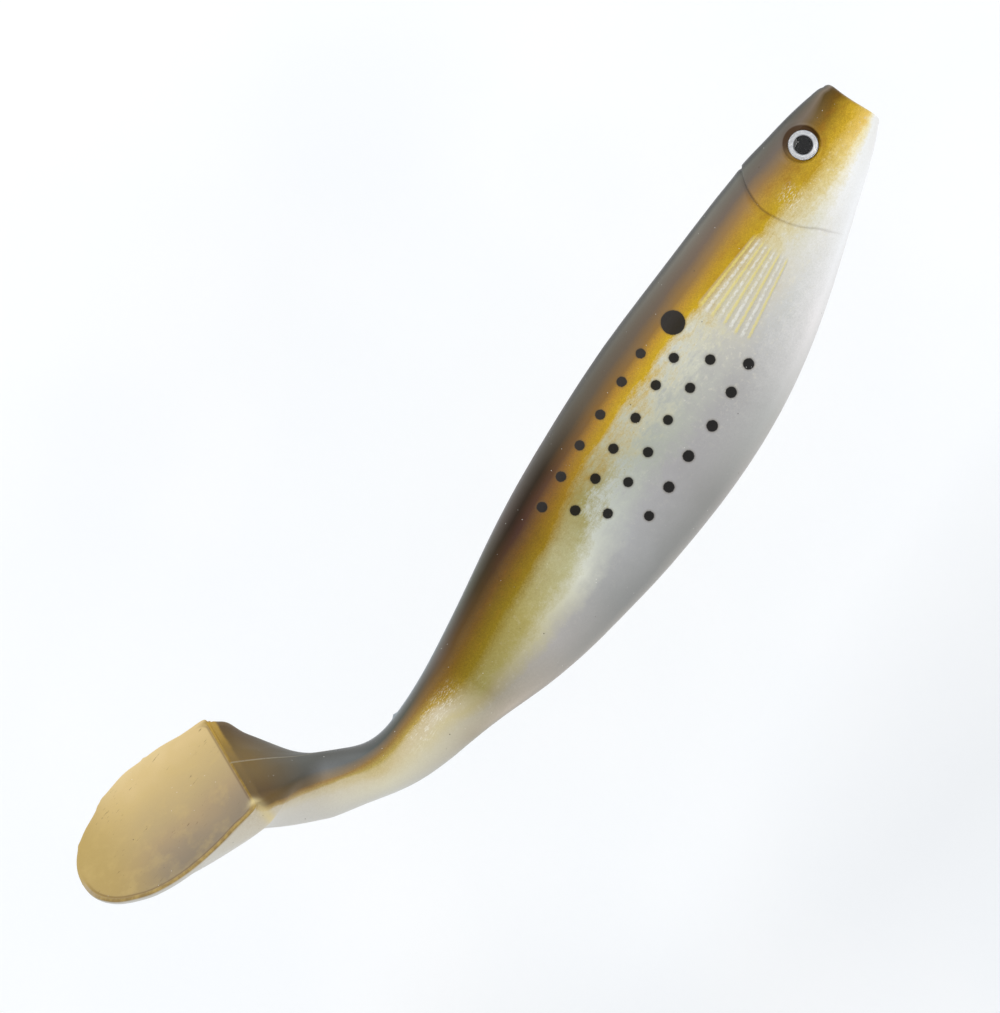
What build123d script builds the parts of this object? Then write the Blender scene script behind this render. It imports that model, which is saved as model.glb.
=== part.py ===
from build123d import *
import math
import os

# Soft paddle-tail swimbait lying on its left flank, millimetres.
# +X runs to the nose, +Y to the back (dorsal), +Z up out of the right flank.
# The outline tables are in grid steps of K mm: s runs aft from the nose, d runs
# dorsal from the body axis, z runs up from the sagittal plane of the body.

# ---- driving dimensions -------------------------------------------------
K = 0.225                 # mm per grid step of the outline tables
ORIGIN = (-122.305, 9.514, -12.354)  # centre of the footprint, under the lowest point, mm from the nose axis
FLANK_POWER = 0.93        # fullness of the oval sections, 1 is an ellipse
UPPER_BIAS = 0.05         # how far the widest line sits above mid height

BODY_HINGE_S = 470.0      # body flex axis, grid steps aft of the nose
BODY_HINGE_R = 8.6        # knuckle radius
BODY_FLEX = 15.0          # degrees each way
ROOT_R = 2.9              # tail root knuckle radius
ROOT_FLEX = 35.0          # degrees each way
TWIST_SPIGOT_R = 1.90     # spigot of the twisting stem
TWIST_BORE_R = 1.97       # bore it turns in
TWIST_SPIGOT_L = 4.5
TWIST_GAP = 0.25          # between the two end faces
PADDLE_T = 2.7            # thickness of the paddle
PADDLE_L = 43.8           # top edge to tip
PADDLE_HINGE_C = 13.0     # paddle flex axis below its top edge
PADDLE_R = 1.30           # paddle knuckle radius
PADDLE_FLEX = 30.0        # degrees each way
GAP = 0.30                # clearance round a knuckle
SPARE = 4.0               # degrees of spare room in each relief

EYE_S, EYE_D = 63.4, 16.6 # eye centre
EYE_AXIS = (0.12, 0.09, 0.9886)   # right eye, out of the head
EYE_R = 3.45              # stick-on eye radius
EYE_POCKET_R = 4.35       # socket radius
EYE_SEAT_Z = 7.05         # socket floor above the sagittal plane
PAD_T, FOIL_T, DOME_H = 0.25, 0.15, 1.25

# ---- outline of the body, (s, d) ----------------------------------------
DORSAL = [(0, 32.5), (10, 37), (20, 39.5), (40, 44), (60, 47.3), (80, 50.1), (100, 52.4), (120, 54.1), (160, 56.6),
          (200, 58.1), (240, 59.3), (280, 60.7), (320, 61.7), (340, 61.9), (360, 61.6), (400, 60.1), (440, 57.7),
          (480, 54.5), (520, 50.3), (560, 44.5), (600, 37.5), (640, 30.4), (680, 24), (700, 21.2), (720, 19.1),
          (740, 17.8), (760, 17.5)]
VENTRAL = [(0, -31), (5, -34), (10, -36.4), (20, -41), (35, -46.9), (50, -52.3), (75, -60.6), (100, -69),
           (120, -75.8), (160, -89.2), (200, -101), (240, -110.7), (280, -118), (320, -122.6), (360, -124.6),
           (380, -124.8), (400, -124.5), (440, -122.4), (480, -119.2), (520, -114.3), (560, -108.2), (600, -101.2),
           (650, -88.4), (700, -71.4), (720, -65.2), (740, -59.6), (760, -54.4)]
HALF_WIDTH = [(0, 25), (25, 31), (50, 35.5), (75, 39.5), (100, 43), (150, 48.5), (200, 52), (250, 54), (300, 54.7),
              (350, 54.5), (400, 53.2), (450, 51), (500, 47.6), (550, 43), (600, 37.4), (650, 31.2), (700, 25.6),
              (730, 22.6), (760, 20.2)]
# ---- tail stem: ridge point (s, d, z), heading, rise and twist in degrees, depth, half width, half width at the
# ridge, share of the flared shape -----------------------------------------
STEM = [
    (785, 19.3, -3.0, 14.0, -11.0, 0.0, 62.0, 18.6, 13.0, 0.0),
    (803, 26.0, -6.5, 24.0, -14.0, 3.0, 58.0, 17.8, 12.5, 0.0),
    (822, 42.0, -8.5, 35.0, -11.0, 10.0, 61.0, 17.4, 13.0, 0.1),
    (836, 56.0, -6.0, 42.0, -2.0, 16.0, 68.0, 17.2, 15.0, 0.3),
    (852, 72.0, 1.2, 47.0, 9.0, 24.0, 76.0, 17.4, 20.5, 0.6),
    (867.5, 90.6, 11.0, 49.5, 17.0, 31.0, 87.0, 18.0, 35.0, 0.9),
]
TOP = (896.5, 123.5, 30.2)        # middle of the paddle's straight top edge
TOP_HEADING, TOP_RISE, TOP_TWIST = 50.5, 23.3, 37.2
PADDLE_CANT = 45.6                # paddle face to stem axis, degrees
# paddle outline: mm below the top edge, half width right, half width left
PADDLE = [(0, 14.6, 14.8), (1.3, 16.1, 16.5), (5, 17.2, 17.7), (10, 18.3, 18.9), (15, 19.0, 19.7), (19, 19.2, 19.9),
          (24, 18.9, 19.7), (28, 18.1, 18.9), (31.5, 16.9, 17.1), (35, 14.9, 15.0), (38.4, 12.4, 12.5),
          (41, 9.4, 9.4), (42.8, 6.0, 6.0), (43.6, 2.6, 2.6)]


def pchip(points):
    xs, ys = [p[0] for p in points], [p[1] for p in points]
    n = len(xs)
    h = [xs[i + 1] - xs[i] for i in range(n - 1)]
    dl = [(ys[i + 1] - ys[i]) / h[i] for i in range(n - 1)]
    m = [dl[0]] + [0.0] * (n - 2) + [dl[-1]]
    for i in range(1, n - 1):
        if dl[i - 1] * dl[i] > 0:
            w1, w2 = 2 * h[i] + h[i - 1], h[i] + 2 * h[i - 1]
            m[i] = (w1 + w2) / (w1 / dl[i - 1] + w2 / dl[i])

    def f(x):
        i = 0
        while i < n - 2 and x > xs[i + 1]:
            i += 1
        t = (x - xs[i]) / h[i]
        return ((1 + 2 * t) * (1 - t) ** 2 * ys[i] + t * (1 - t) ** 2 * h[i] * m[i]
                + t * t * (3 - 2 * t) * ys[i + 1] + t * t * (t - 1) * h[i] * m[i + 1])
    return f


dorsal, ventral, half_width = pchip(DORSAL), pchip(VENTRAL), pchip(HALF_WIDTH)


def add(a, b, k=1.0):
    return tuple(x + k * y for x, y in zip(a, b))


def dot(a, b):
    return sum(x * y for x, y in zip(a, b))


def unit(a):
    length = math.sqrt(dot(a, a))
    return tuple(x / length for x in a)


def grid_frame(heading, rise, twist):
    """Aft, dorsal and right directions of a stem section, in grid axes (s, d, z)."""
    th, al, ta = (math.radians(x) for x in (heading, rise, twist))
    t = (math.cos(th) * math.cos(al), math.sin(th) * math.cos(al), math.sin(al))
    n0 = (-math.sin(th), math.cos(th), 0.0)
    r0 = (-math.sin(al) * math.cos(th), -math.sin(al) * math.sin(th), math.cos(al))
    n = tuple(math.cos(ta) * a + math.sin(ta) * b for a, b in zip(n0, r0))
    r = tuple(math.cos(ta) * b - math.sin(ta) * a for a, b in zip(n0, r0))
    return t, n, r


def place(g):
    """Grid point (s, d, z) to millimetres in the part's frame."""
    return Vector(-g[0] * K - ORIGIN[0], g[1] * K - ORIGIN[1], g[2] * K - ORIGIN[2])


def turn(g):
    """Grid direction to the part's frame."""
    return Vector(-g[0], g[1], g[2])


def oval(w, depth, a):
    c, s = math.cos(a), math.sin(a)
    x = w * math.copysign(abs(c) ** FLANK_POWER, c) * (1 + UPPER_BIAS * s)
    return x, depth / 2 * (math.copysign(abs(s) ** FLANK_POWER, s) - 1)


def flared(w, f, depth, drop, v):
    """v 0 at the ridge, CORNER at the wing tip, 0.5 at the keel."""
    if v <= CORNER:
        q = v / CORNER
        return f * q, -drop * q * q
    q = (v - CORNER) / (0.5 - CORNER)
    pts = [(f, -drop), (0.98 * f, -drop - 0.10 * depth), (0.75 * w + 0.25 * f, -0.45 * depth), (0.9 * w, -depth), (0, -depth)]
    while len(pts) > 1:
        pts = [((1 - q) * a[0] + q * b[0], (1 - q) * a[1] + q * b[1]) for a, b in zip(pts, pts[1:])]
    return pts[0]


CORNER = 0.20


def section(ridge, n, r, depth, w, f, share, drop=4.0, count=36, ruled=False):
    """Face of one section of the soft body, smooth or many-sided."""
    pts = []
    for i in range(count):
        v = i / count
        side = 1 if v <= 0.5 else -1
        vv = v if v <= 0.5 else 1 - v
        ox, oy = oval(w, depth, math.pi / 2 - 2 * math.pi * vv)
        fx, fy = flared(w, f, depth, drop, vv)
        x, y = (1 - share) * ox + share * fx, (1 - share) * oy + share * fy
        pts.append(place(add(add(ridge, r, side * x), n, y)))
    return Face(Wire.make_polygon(pts, close=True) if ruled else Wire([Edge.make_spline(pts, periodic=True)]))


# ---- the whole soft moulding as one loft, cut into its flexing parts below ----
faces = []                # smooth oval sections, nose to the twisting stem
for s in (0, 12, 30, 60, 100, 150, 210, 280, 350, 420, 480, 540, 600, 650, 700, 740, 760):
    D, V = dorsal(s), ventral(s)
    faces.append(section((s, D, 0), (0, 1, 0), (0, 0, 1), D - V, half_width(s), 10, 0.0))
stations = []
for s, d, z, heading, rise, twist, depth, w, f, share in STEM:
    t, n, r = grid_frame(heading, rise, twist)
    stations.append({"D": (s, d, z), "t": t, "n": n, "r": r, "depth": depth, "w": w, "f": f})
    if share < 0.9:
        faces.append(section((s, d, z), n, r, depth, w, f, 0.0))
T, N, R = grid_frame(TOP_HEADING, TOP_RISE, TOP_TWIST)
cant = math.radians(PADDLE_CANT)
P = unit(tuple(math.cos(cant) * a - math.sin(cant) * b for a, b in zip(T, N)))   # down the paddle
Q = unit(tuple(math.sin(cant) * a + math.cos(cant) * b for a, b in zip(T, N)))   # out of its rear face


def paddle_point(x, c, q):
    """Right, down and out of the rear face, in grid steps from the middle of the top edge."""
    return add(add(add(TOP, R, x), P, c), Q, q)


st = stations[4]
flare = [section(add(st["D"], st["t"], -1.5), st["n"], st["r"], st["depth"] - 1, st["w"] - 0.5, st["f"], 0.0, count=28, ruled=True)]
st = stations[5]
flare.append(section(st["D"], st["n"], st["r"], st["depth"], st["w"], st["f"], 0.9, count=28, ruled=True))
for ridge, keel, w, f, drop in (((-16, -15), (50, -56), 24.0, 60.0, 3.0), ((0.6, -1.0), (76, -11.3), 40.0, 66.0, 1.0)):
    a, b = paddle_point(0, *ridge), paddle_point(0, *keel)
    up = unit(add(a, b, -1))
    flare.append(section(a, up, R, math.sqrt(dot(add(a, b, -1), add(a, b, -1))), w, f, 1.0, drop, count=28, ruled=True))
moulding = Solid.make_loft([f.outer_wire() for f in faces]) + Solid.make_loft([f.outer_wire() for f in flare], ruled=True)
moulding = max(moulding.solids(), key=lambda s: s.volume)

# paddle plate, rear face through the top edge
outline = [paddle_point(x / K, c / K, 0) for c, x, _ in PADDLE] + [paddle_point(0, PADDLE_L / K, 0)] \
    + [paddle_point(-x / K, c / K, 0) for c, _, x in reversed(PADDLE)]
rim = Edge.make_spline([place(p) for p in outline])
top = Edge.make_line(place(outline[-1]), place(outline[0]))
plate = Solid.extrude(Face(Wire([rim, top])), turn(Q) * -PADDLE_T)


def prism(origin, x_dir, normal, points, half_length):
    """Polygon in the plane of origin, extruded both ways along the normal."""
    pl = Plane(origin=origin, x_dir=x_dir, z_dir=normal)
    w = Wire.make_polygon([pl.from_local_coords(Vector(x, y, -half_length)) for x, y in points], close=True)
    return Solid.extrude(Face(w), pl.z_dir * (2 * half_length))


def pin(origin, axis, radius, half_length):
    pl = Plane(origin=origin - axis.normalized() * half_length, z_dir=axis)
    return Solid.make_cylinder(radius, 2 * half_length, pl)


def wedge(origin, forward, axis, half_angle, reach, half_length):
    """Everything within half_angle of forward, seen along the axis."""
    h = math.radians(half_angle)
    c, s = reach * math.cos(h), reach * math.sin(h)
    return prism(origin, forward, axis, [(0, 0), (c, -s), (reach, -s), (reach, s), (c, s)], half_length)


def half(origin, forward, axis, reach, half_length):
    """Everything behind the axis."""
    return prism(origin, forward, axis, [(0, -reach), (0, reach), (-reach, reach), (-reach, -reach)], half_length)


def one(shape):
    """The largest solid of a result."""
    return max(shape.solids(), key=lambda s: s.volume)


# body flex: dorso-ventral axis in the sagittal plane
mid = (dorsal(BODY_HINGE_S) + ventral(BODY_HINGE_S)) / 2
body_pivot = place((BODY_HINGE_S, mid, 0))
body_axis = Vector(0, 1, 0)
# tail root flex: dorsal direction of the stem's first section
st = stations[0]
root_pivot = place(add(st["D"], st["n"], -st["depth"] / 2))
root_axis = turn(st["n"])
root_forward = turn(st["t"]) * -1
# stem twist: along the stem
st = stations[3]
twist_pivot = place(add(st["D"], st["n"], -st["depth"] * 0.46))
twist_axis = turn(st["t"])
twist_side = turn(st["r"])
# paddle flex: across the paddle, at mid thickness
paddle_pivot = place(paddle_point(0, PADDLE_HINGE_C / K, -PADDLE_T / 2 / K))
paddle_axis = turn(R)
paddle_up = turn(P) * -1

FAR = 160.0
aft_of_root = half(root_pivot, root_forward, root_axis, FAR, 60)
root_wedge = wedge(root_pivot, root_forward, root_axis, 90 - ROOT_FLEX - SPARE, FAR, 70)
body_wedge = wedge(body_pivot, Vector(1, 0, 0), body_axis, 90 - BODY_FLEX - SPARE, FAR, 70)
aft_of_body = half(body_pivot, Vector(1, 0, 0), body_axis, FAR, 70)
fore_of_twist = half(twist_pivot, twist_axis, twist_side, FAR, FAR)
aft_of_twist = half(twist_pivot + twist_axis * TWIST_GAP, twist_axis * -1, twist_side, FAR, FAR)

fore_body = one(moulding & body_wedge) - pin(body_pivot, body_axis, BODY_HINGE_R + GAP, 60)
rear = one(moulding & (aft_of_body + pin(body_pivot, body_axis, BODY_HINGE_R, 60)))
rear_body = one(one(rear & root_wedge) - pin(root_pivot, root_axis, ROOT_R + GAP, 40))
tail = one(moulding & (aft_of_root + pin(root_pivot, root_axis, ROOT_R, 40)))
tail_wrist = one(one(tail & fore_of_twist)
                 - Solid.make_cylinder(TWIST_BORE_R, TWIST_SPIGOT_L + 0.4,
                                       Plane(origin=twist_pivot - twist_axis * (TWIST_SPIGOT_L + 0.2), z_dir=twist_axis)))
spigot = Solid.make_cylinder(TWIST_SPIGOT_R, TWIST_SPIGOT_L + 1.2,
                             Plane(origin=twist_pivot - twist_axis * (TWIST_SPIGOT_L - 0.2), z_dir=twist_axis))
stem_and_paddle = one(one(tail & aft_of_twist) + plate)
up_wedge = wedge(paddle_pivot, paddle_up, paddle_axis, 90 - PADDLE_FLEX - SPARE, FAR, 30)
below = half(paddle_pivot, paddle_up, paddle_axis, FAR, 30)
stem_block = one(one(stem_and_paddle & up_wedge) - pin(paddle_pivot, paddle_axis, PADDLE_R + GAP, 30))
tail_stem = one(stem_block + spigot)
tail_paddle = one(plate & (below + pin(paddle_pivot, paddle_axis, PADDLE_R, 30)))

# ---- eyes ---------------------------------------------------------------
parts = {"rear_body": rear_body, "tail_wrist": tail_wrist, "tail_stem": tail_stem, "tail_paddle": tail_paddle}
fore_body = one(fore_body)
for side, sign in (("right", 1), ("left", -1)):
    axis = Vector(EYE_AXIS[0], EYE_AXIS[1], sign * EYE_AXIS[2]).normalized()
    seat = place((EYE_S, EYE_D, sign * EYE_SEAT_Z / K))
    fore_body = one(fore_body - Solid.make_cylinder(EYE_POCKET_R, 6, Plane(origin=seat, z_dir=axis)))
    base = Plane(origin=seat, z_dir=axis)
    pad = Solid.make_cylinder(EYE_R - 0.35, PAD_T, base)
    foil = Solid.make_cylinder(EYE_R, FOIL_T, Plane(origin=seat + axis * PAD_T, z_dir=axis))
    ball_r = (EYE_R ** 2 + DOME_H ** 2) / (2 * DOME_H)
    lens_at = seat + axis * (PAD_T + FOIL_T)
    ball = Solid.make_sphere(ball_r, Plane(origin=lens_at - axis * (ball_r - DOME_H), z_dir=axis), angle1=-90, angle2=90, angle3=360)
    dome = one(ball & Solid.make_cylinder(EYE_R + 1, 4, Plane(origin=lens_at, z_dir=axis)))
    parts[side + "_eye_adhesive"], parts[side + "_eye_foil"], parts[side + "_eye_dome"] = pad, foil, dome
parts["fore_body"] = fore_body

os.makedirs("parts", exist_ok=True)
for name, shape in parts.items():
    shape.label = name
    export_step(shape, os.path.join("parts", name + ".step"))
    print(name, "volume %.1f mm3" % shape.volume)

everything = Compound(children=list(parts.values()))
bb = everything.bounding_box()
print("box", [round(v, 3) for v in (bb.min.X, bb.min.Y, bb.min.Z, bb.max.X, bb.max.Y, bb.max.Z)])
print("centre of footprint", round((bb.min.X + bb.max.X) / 2, 3), round((bb.min.Y + bb.max.Y) / 2, 3))
for name, pos, axis in (("body_flex", body_pivot, body_axis), ("tail_root_flex", root_pivot, root_axis),
                        ("stem_twist", twist_pivot, twist_axis), ("paddle_flex", paddle_pivot, paddle_axis)):
    axis = axis.normalized()
    print(name, [round(v / 1000, 6) for v in (pos.X, pos.Y, pos.Z)], [round(v, 6) for v in (axis.X, axis.Y, axis.Z)])
nose = place((0, (dorsal(0) + ventral(0)) / 2, 0))
print("nose face", [round(v / 1000, 6) for v in (nose.X, nose.Y, nose.Z)])
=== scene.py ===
import math
import bpy
import numpy as np
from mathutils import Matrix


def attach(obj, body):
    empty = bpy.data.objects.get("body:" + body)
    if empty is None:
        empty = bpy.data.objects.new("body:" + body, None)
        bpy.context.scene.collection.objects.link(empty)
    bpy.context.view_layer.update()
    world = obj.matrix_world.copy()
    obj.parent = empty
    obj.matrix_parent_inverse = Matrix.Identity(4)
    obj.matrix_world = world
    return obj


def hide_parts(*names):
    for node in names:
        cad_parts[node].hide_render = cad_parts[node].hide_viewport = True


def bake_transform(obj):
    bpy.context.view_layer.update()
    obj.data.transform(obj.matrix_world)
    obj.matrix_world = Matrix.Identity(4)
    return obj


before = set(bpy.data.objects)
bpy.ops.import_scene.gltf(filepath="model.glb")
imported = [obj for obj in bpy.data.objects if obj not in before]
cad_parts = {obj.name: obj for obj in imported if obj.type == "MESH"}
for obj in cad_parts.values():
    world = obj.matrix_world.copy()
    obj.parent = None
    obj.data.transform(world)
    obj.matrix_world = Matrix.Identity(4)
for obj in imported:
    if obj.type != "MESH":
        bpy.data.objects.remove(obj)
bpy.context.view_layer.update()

# Soft paddle-tail swimbait lying on its left flank. All outline tables are in grid steps of 0.225 mm:
# s runs aft from the nose, d dorsal from the body axis, z up from the sagittal plane.
K = 0.225e-3
ORIGIN = (-0.122305, 0.009514, -0.012354)
POWER, BIAS = 0.93, 0.05
M = 400                                   # points round every section

DORSAL = [(0, 32.5), (10, 37), (20, 39.5), (30, 41.9), (40, 44), (50, 45.8), (60, 47.3), (80, 50.1), (100, 52.4), (120, 54.1),
          (140, 55.5), (160, 56.6), (180, 57.4), (200, 58.1), (240, 59.3), (280, 60.7), (320, 61.7), (340, 61.9), (360, 61.6),
          (380, 61.0), (400, 60.1), (420, 59.0), (440, 57.7), (460, 56.2), (480, 54.5), (500, 52.6), (520, 50.3), (540, 47.6),
          (560, 44.5), (580, 41.1), (600, 37.5), (620, 33.9), (640, 30.4), (660, 27.1), (680, 24.0), (700, 21.2), (720, 19.1),
          (740, 17.8), (760, 17.5)]
VENTRAL = [(0, -31), (5, -34), (10, -36.4), (20, -41), (35, -46.9), (50, -52.3), (75, -60.6), (100, -69), (120, -75.8),
           (140, -82.6), (160, -89.2), (180, -95.3), (200, -101), (220, -106.2), (240, -110.7), (260, -114.7), (280, -118),
           (300, -120.6), (320, -122.6), (340, -123.9), (360, -124.6), (380, -124.8), (400, -124.5), (420, -123.6),
           (440, -122.4), (460, -120.9), (480, -119.2), (500, -117), (520, -114.3), (540, -111.3), (560, -108.2), (580, -105),
           (600, -101.2), (625, -95.4), (650, -88.4), (675, -80), (700, -71.4), (720, -65.2), (740, -59.6), (760, -54.4)]
WIDTH = [(0, 25), (25, 31), (50, 35.5), (75, 39.5), (100, 43), (150, 48.5), (200, 52), (250, 54), (300, 54.7), (350, 54.5),
         (400, 53.2), (450, 51), (500, 47.6), (550, 43), (600, 37.4), (650, 31.2), (700, 25.6), (730, 22.6), (760, 20.2)]
# tail stem: ridge point, heading, rise, twist, depth, half width, half width at the ridge, share of the flared shape, drop
STEM = [(785, 19.3, -3.0, 14.0, -11.0, 0.0, 62.0, 18.6, 13.0, 0.0, 4.0),
        (803, 26.0, -6.5, 24.0, -14.0, 3.0, 58.0, 17.8, 12.5, 0.0, 4.0),
        (822, 42.0, -8.5, 35.0, -11.0, 10.0, 61.0, 17.4, 13.0, 0.1, 4.0),
        (836, 56.0, -6.0, 42.0, -2.0, 16.0, 68.0, 17.2, 17.0, 0.35, 4.0),
        (852, 72.0, 1.2, 47.0, 9.0, 24.0, 76.0, 19.0, 29.0, 0.75, 4.0),
        (867.5, 90.6, 11.0, 49.5, 17.0, 31.0, 84.0, 24.0, 49.0, 0.95, 3.0)]
TOP = np.array((896.5, 123.5, 30.2))      # middle of the paddle's straight top edge
# neck sections at the paddle: ridge and keel in (down the paddle, out of the rear face), corner and keel half widths, drop
NECK = [((-16.0, -14.5), (48.0, -60.0), 36.0, 66.5, 1.5), ((-8.0, -7.2), (64.0, -44.0), 44.0, 67.0, 1.0),
        ((-3.0, -2.6), (84.0, -28.0), 52.0, 67.0, 0.5)]
# paddle outline: mm below the top edge, half width right, half width left
PADDLE = [(0, 14.6, 14.8), (1.3, 16.1, 16.5), (5, 17.2, 17.7), (10, 18.3, 18.9), (15, 19.0, 19.7), (19, 19.2, 19.9),
          (24, 18.9, 19.7), (28, 18.1, 18.9), (31.5, 16.9, 17.1), (35, 14.9, 15.0), (38.4, 12.4, 12.5), (41, 9.4, 9.4),
          (42.8, 6.0, 6.0), (43.6, 2.6, 2.6)]
PADDLE_LENGTH = 43.8
PLATE = 11.6                              # plate thickness, grid steps

EYE_AT = (63.4, 16.6)
EYE_SEAT = 7.05 / 0.225
EYE_AXIS = np.array((0.12, 0.09, 0.9886))  # row axes, right eye
SOCKET_AT, SOCKET_R = (63.2, 18.6), 18.8

GILL = [(-75, 108), (-69, 110), (-56, 116), (-44, 121), (-30, 129), (-16, 134), (-1, 137), (10, 138), (21, 136), (36, 130),
        (46, 123), (52, 117), (56, 111)]
RAYS_ROOT = [(165, 2.5), (165, -7.5), (166, -16.5), (166, -27.0), (164, -36.5)]
RAYS_TIP = [(258, 7.5), (257, -8.0), (257, -22.5), (257, -37.0), (256, -51.5)]
SPOTS = [(283.1, 19.7, 12.4, 1), (326.9, 28, 5.2, 1), (360.9, 27.1, 5.3, 1), (400, 25.4, 5.3, 1), (436.9, 24.3, 5.3, 1),
         (473.1, 21.4, 5.4, 1), (508.9, 19.1, 5.5, 1), (311.4, -1.4, 5.3, 0), (344, -2.6, 5.3, 0), (382.3, -5.1, 5.3, 0),
         (420, -4.9, 5.3, 0), (454.9, -7.7, 5.4, 0), (492.3, -9.7, 5.5, 0), (291.7, -32, 5.4, 0), (326.3, -32, 5.3, 0),
         (365.1, -32.6, 5.2, 0), (402.9, -35.1, 5.3, 0), (438.6, -36.3, 5.2, 0), (476, -38, 5.2, 0), (272.9, -65.7, 5.8, 0),
         (306, -68, 5.8, 0), (344.3, -72, 6.0, 0), (382.6, -70.3, 6.0, 0), (419.1, -72.3, 5.8, 0), (454, -72.9, 5.2, 0)]


# ---- small numeric helpers ------------------------------------------------------------------------
def pchip(points):
    xs, ys = np.array([p[0] for p in points], float), np.array([p[1] for p in points], float)
    h, dl = np.diff(xs), np.diff(ys) / np.diff(xs)
    m = np.zeros(len(xs))
    m[0], m[-1] = dl[0], dl[-1]
    for i in range(1, len(xs) - 1):
        if dl[i - 1] * dl[i] > 0:
            w1, w2 = 2 * h[i] + h[i - 1], h[i] + 2 * h[i - 1]
            m[i] = (w1 + w2) / (w1 / dl[i - 1] + w2 / dl[i])

    def f(x):
        x = np.asarray(x, float)
        i = np.clip(np.searchsorted(xs, x, side="right") - 1, 0, len(xs) - 2)
        t = np.clip((x - xs[i]) / h[i], 0, 1)
        return ((1 + 2 * t) * (1 - t) ** 2 * ys[i] + t * (1 - t) ** 2 * h[i] * m[i]
                + t * t * (3 - 2 * t) * ys[i + 1] + t * t * (t - 1) * h[i] * m[i + 1])
    return f


def spline(ts, ys):
    """Natural cubic spline through rows of ys."""
    ts, ys = np.asarray(ts, float), np.asarray(ys, float)
    n, h = len(ts), np.diff(ts)
    a = np.zeros((n, n))
    b = np.zeros_like(ys)
    a[0, 0] = a[-1, -1] = 1
    for i in range(1, n - 1):
        a[i, i - 1], a[i, i], a[i, i + 1] = h[i - 1], 2 * (h[i - 1] + h[i]), h[i]
        b[i] = 6 * ((ys[i + 1] - ys[i]) / h[i] - (ys[i] - ys[i - 1]) / h[i - 1])
    m = np.linalg.solve(a, b.reshape(n, -1)).reshape(ys.shape)

    def f(t):
        i = int(np.clip(np.searchsorted(ts, t, side="right") - 1, 0, n - 2))
        u, w = t - ts[i], ts[i + 1] - t
        return (m[i] * w ** 3 + m[i + 1] * u ** 3) / (6 * h[i]) + (ys[i] / h[i] - m[i] * h[i] / 6) * w + (ys[i + 1] / h[i] - m[i + 1] * h[i] / 6) * u
    return f


def smooth(x, a, b):
    t = np.clip((np.asarray(x, float) - a) / (b - a), 0, 1)
    return t * t * (3 - 2 * t)


def bell(x, centre, width):
    return np.exp(-((np.asarray(x, float) - centre) / width) ** 2)


def unit(a):
    return a / np.linalg.norm(a)


def place(g):
    g = np.asarray(g, float)
    return np.stack([-g[..., 0] * K - ORIGIN[0], g[..., 1] * K - ORIGIN[1], g[..., 2] * K - ORIGIN[2]], -1)


def waves(p, seed, size, octaves=3):
    """Smooth seeded undulation of unit size over points p, features about size long."""
    rng = np.random.RandomState(seed)
    out, amp = np.zeros(p.shape[:-1]), 1.0
    for o in range(octaves):
        for _ in range(6):
            k = rng.normal(size=3)
            k = k / np.linalg.norm(k) * 2 * math.pi / (size / 1.9 ** o) * rng.uniform(0.6, 1.3)
            out += amp * np.sin(p @ k + rng.uniform(0, 6.28)) / 2.4
        amp *= 0.5
    return out / 1.75


dorsal, ventral, width = pchip(DORSAL), pchip(VENTRAL), pchip(WIDTH)
gill = pchip(GILL)

U = np.arange(M) / M
V = U + 0.30 * np.sin(4 * math.pi * U) / (4 * math.pi)      # 0 ridge, 0.25 right flank, 0.5 keel, 0.75 left flank
CORNER_J = 73
CORNER = V[CORNER_J]
SIDE = np.where(U < 0.5, 1.0, -1.0)
W = np.where(V <= 0.5, V, 1 - V)                             # same on both sides, 0 ridge to 0.5 keel


def oval(w, depth):
    a = math.pi / 2 - 2 * math.pi * W
    c, s = np.cos(a), np.sin(a)
    x = w * np.sign(c) * np.abs(c) ** POWER * (1 + BIAS * s)
    return x, depth / 2 * (np.sign(s) * np.abs(s) ** POWER - 1)


def flared(w, f, depth, drop):
    q = np.clip(W / CORNER, 0, 1)
    x0, y0 = f * q, -drop * q * q
    q = np.clip((W - CORNER) / (0.5 - CORNER), 0, 1)
    pts = [(f, -drop), (0.98 * f, -drop - 0.10 * depth), (0.75 * w + 0.25 * f, -0.45 * depth), (0.9 * w, -depth), (0.0, -depth)]
    bez = [1.0, 4.0, 6.0, 4.0, 1.0]
    x1 = sum(b * p[0] * q ** i * (1 - q) ** (4 - i) for i, (b, p) in enumerate(zip(bez, pts)))
    y1 = sum(b * p[1] * q ** i * (1 - q) ** (4 - i) for i, (b, p) in enumerate(zip(bez, pts)))
    low = W <= CORNER
    return np.where(low, x0, x1), np.where(low, y0, y1)


def section(ridge, n, r, depth, w, f, share, drop):
    ox, oy = oval(w, depth)
    fx, fy = flared(w, f, depth, drop)
    x, y = SIDE * ((1 - share) * ox + share * fx), (1 - share) * oy + share * fy
    return np.asarray(ridge, float) + x[:, None] * r + y[:, None] * n


def body_section(s):
    D, B = float(dorsal(s)), float(ventral(s))
    x, y = oval(float(width(s)), D - B)
    return np.stack([np.full(M, float(s)), D + y, SIDE * x], -1)


def grid_frame(heading, rise, twist):
    th, al, ta = (math.radians(x) for x in (heading, rise, twist))
    t = np.array((math.cos(th) * math.cos(al), math.sin(th) * math.cos(al), math.sin(al)))
    n0 = np.array((-math.sin(th), math.cos(th), 0.0))
    r0 = np.array((-math.sin(al) * math.cos(th), -math.sin(al) * math.sin(th), math.cos(al)))
    return t, math.cos(ta) * n0 + math.sin(ta) * r0, math.cos(ta) * r0 - math.sin(ta) * n0


T, N, R = grid_frame(50.5, 23.3, 37.2)
cant = math.radians(45.6)
P = unit(math.cos(cant) * T - math.sin(cant) * N)
Q = unit(math.sin(cant) * T + math.cos(cant) * N)


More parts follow.
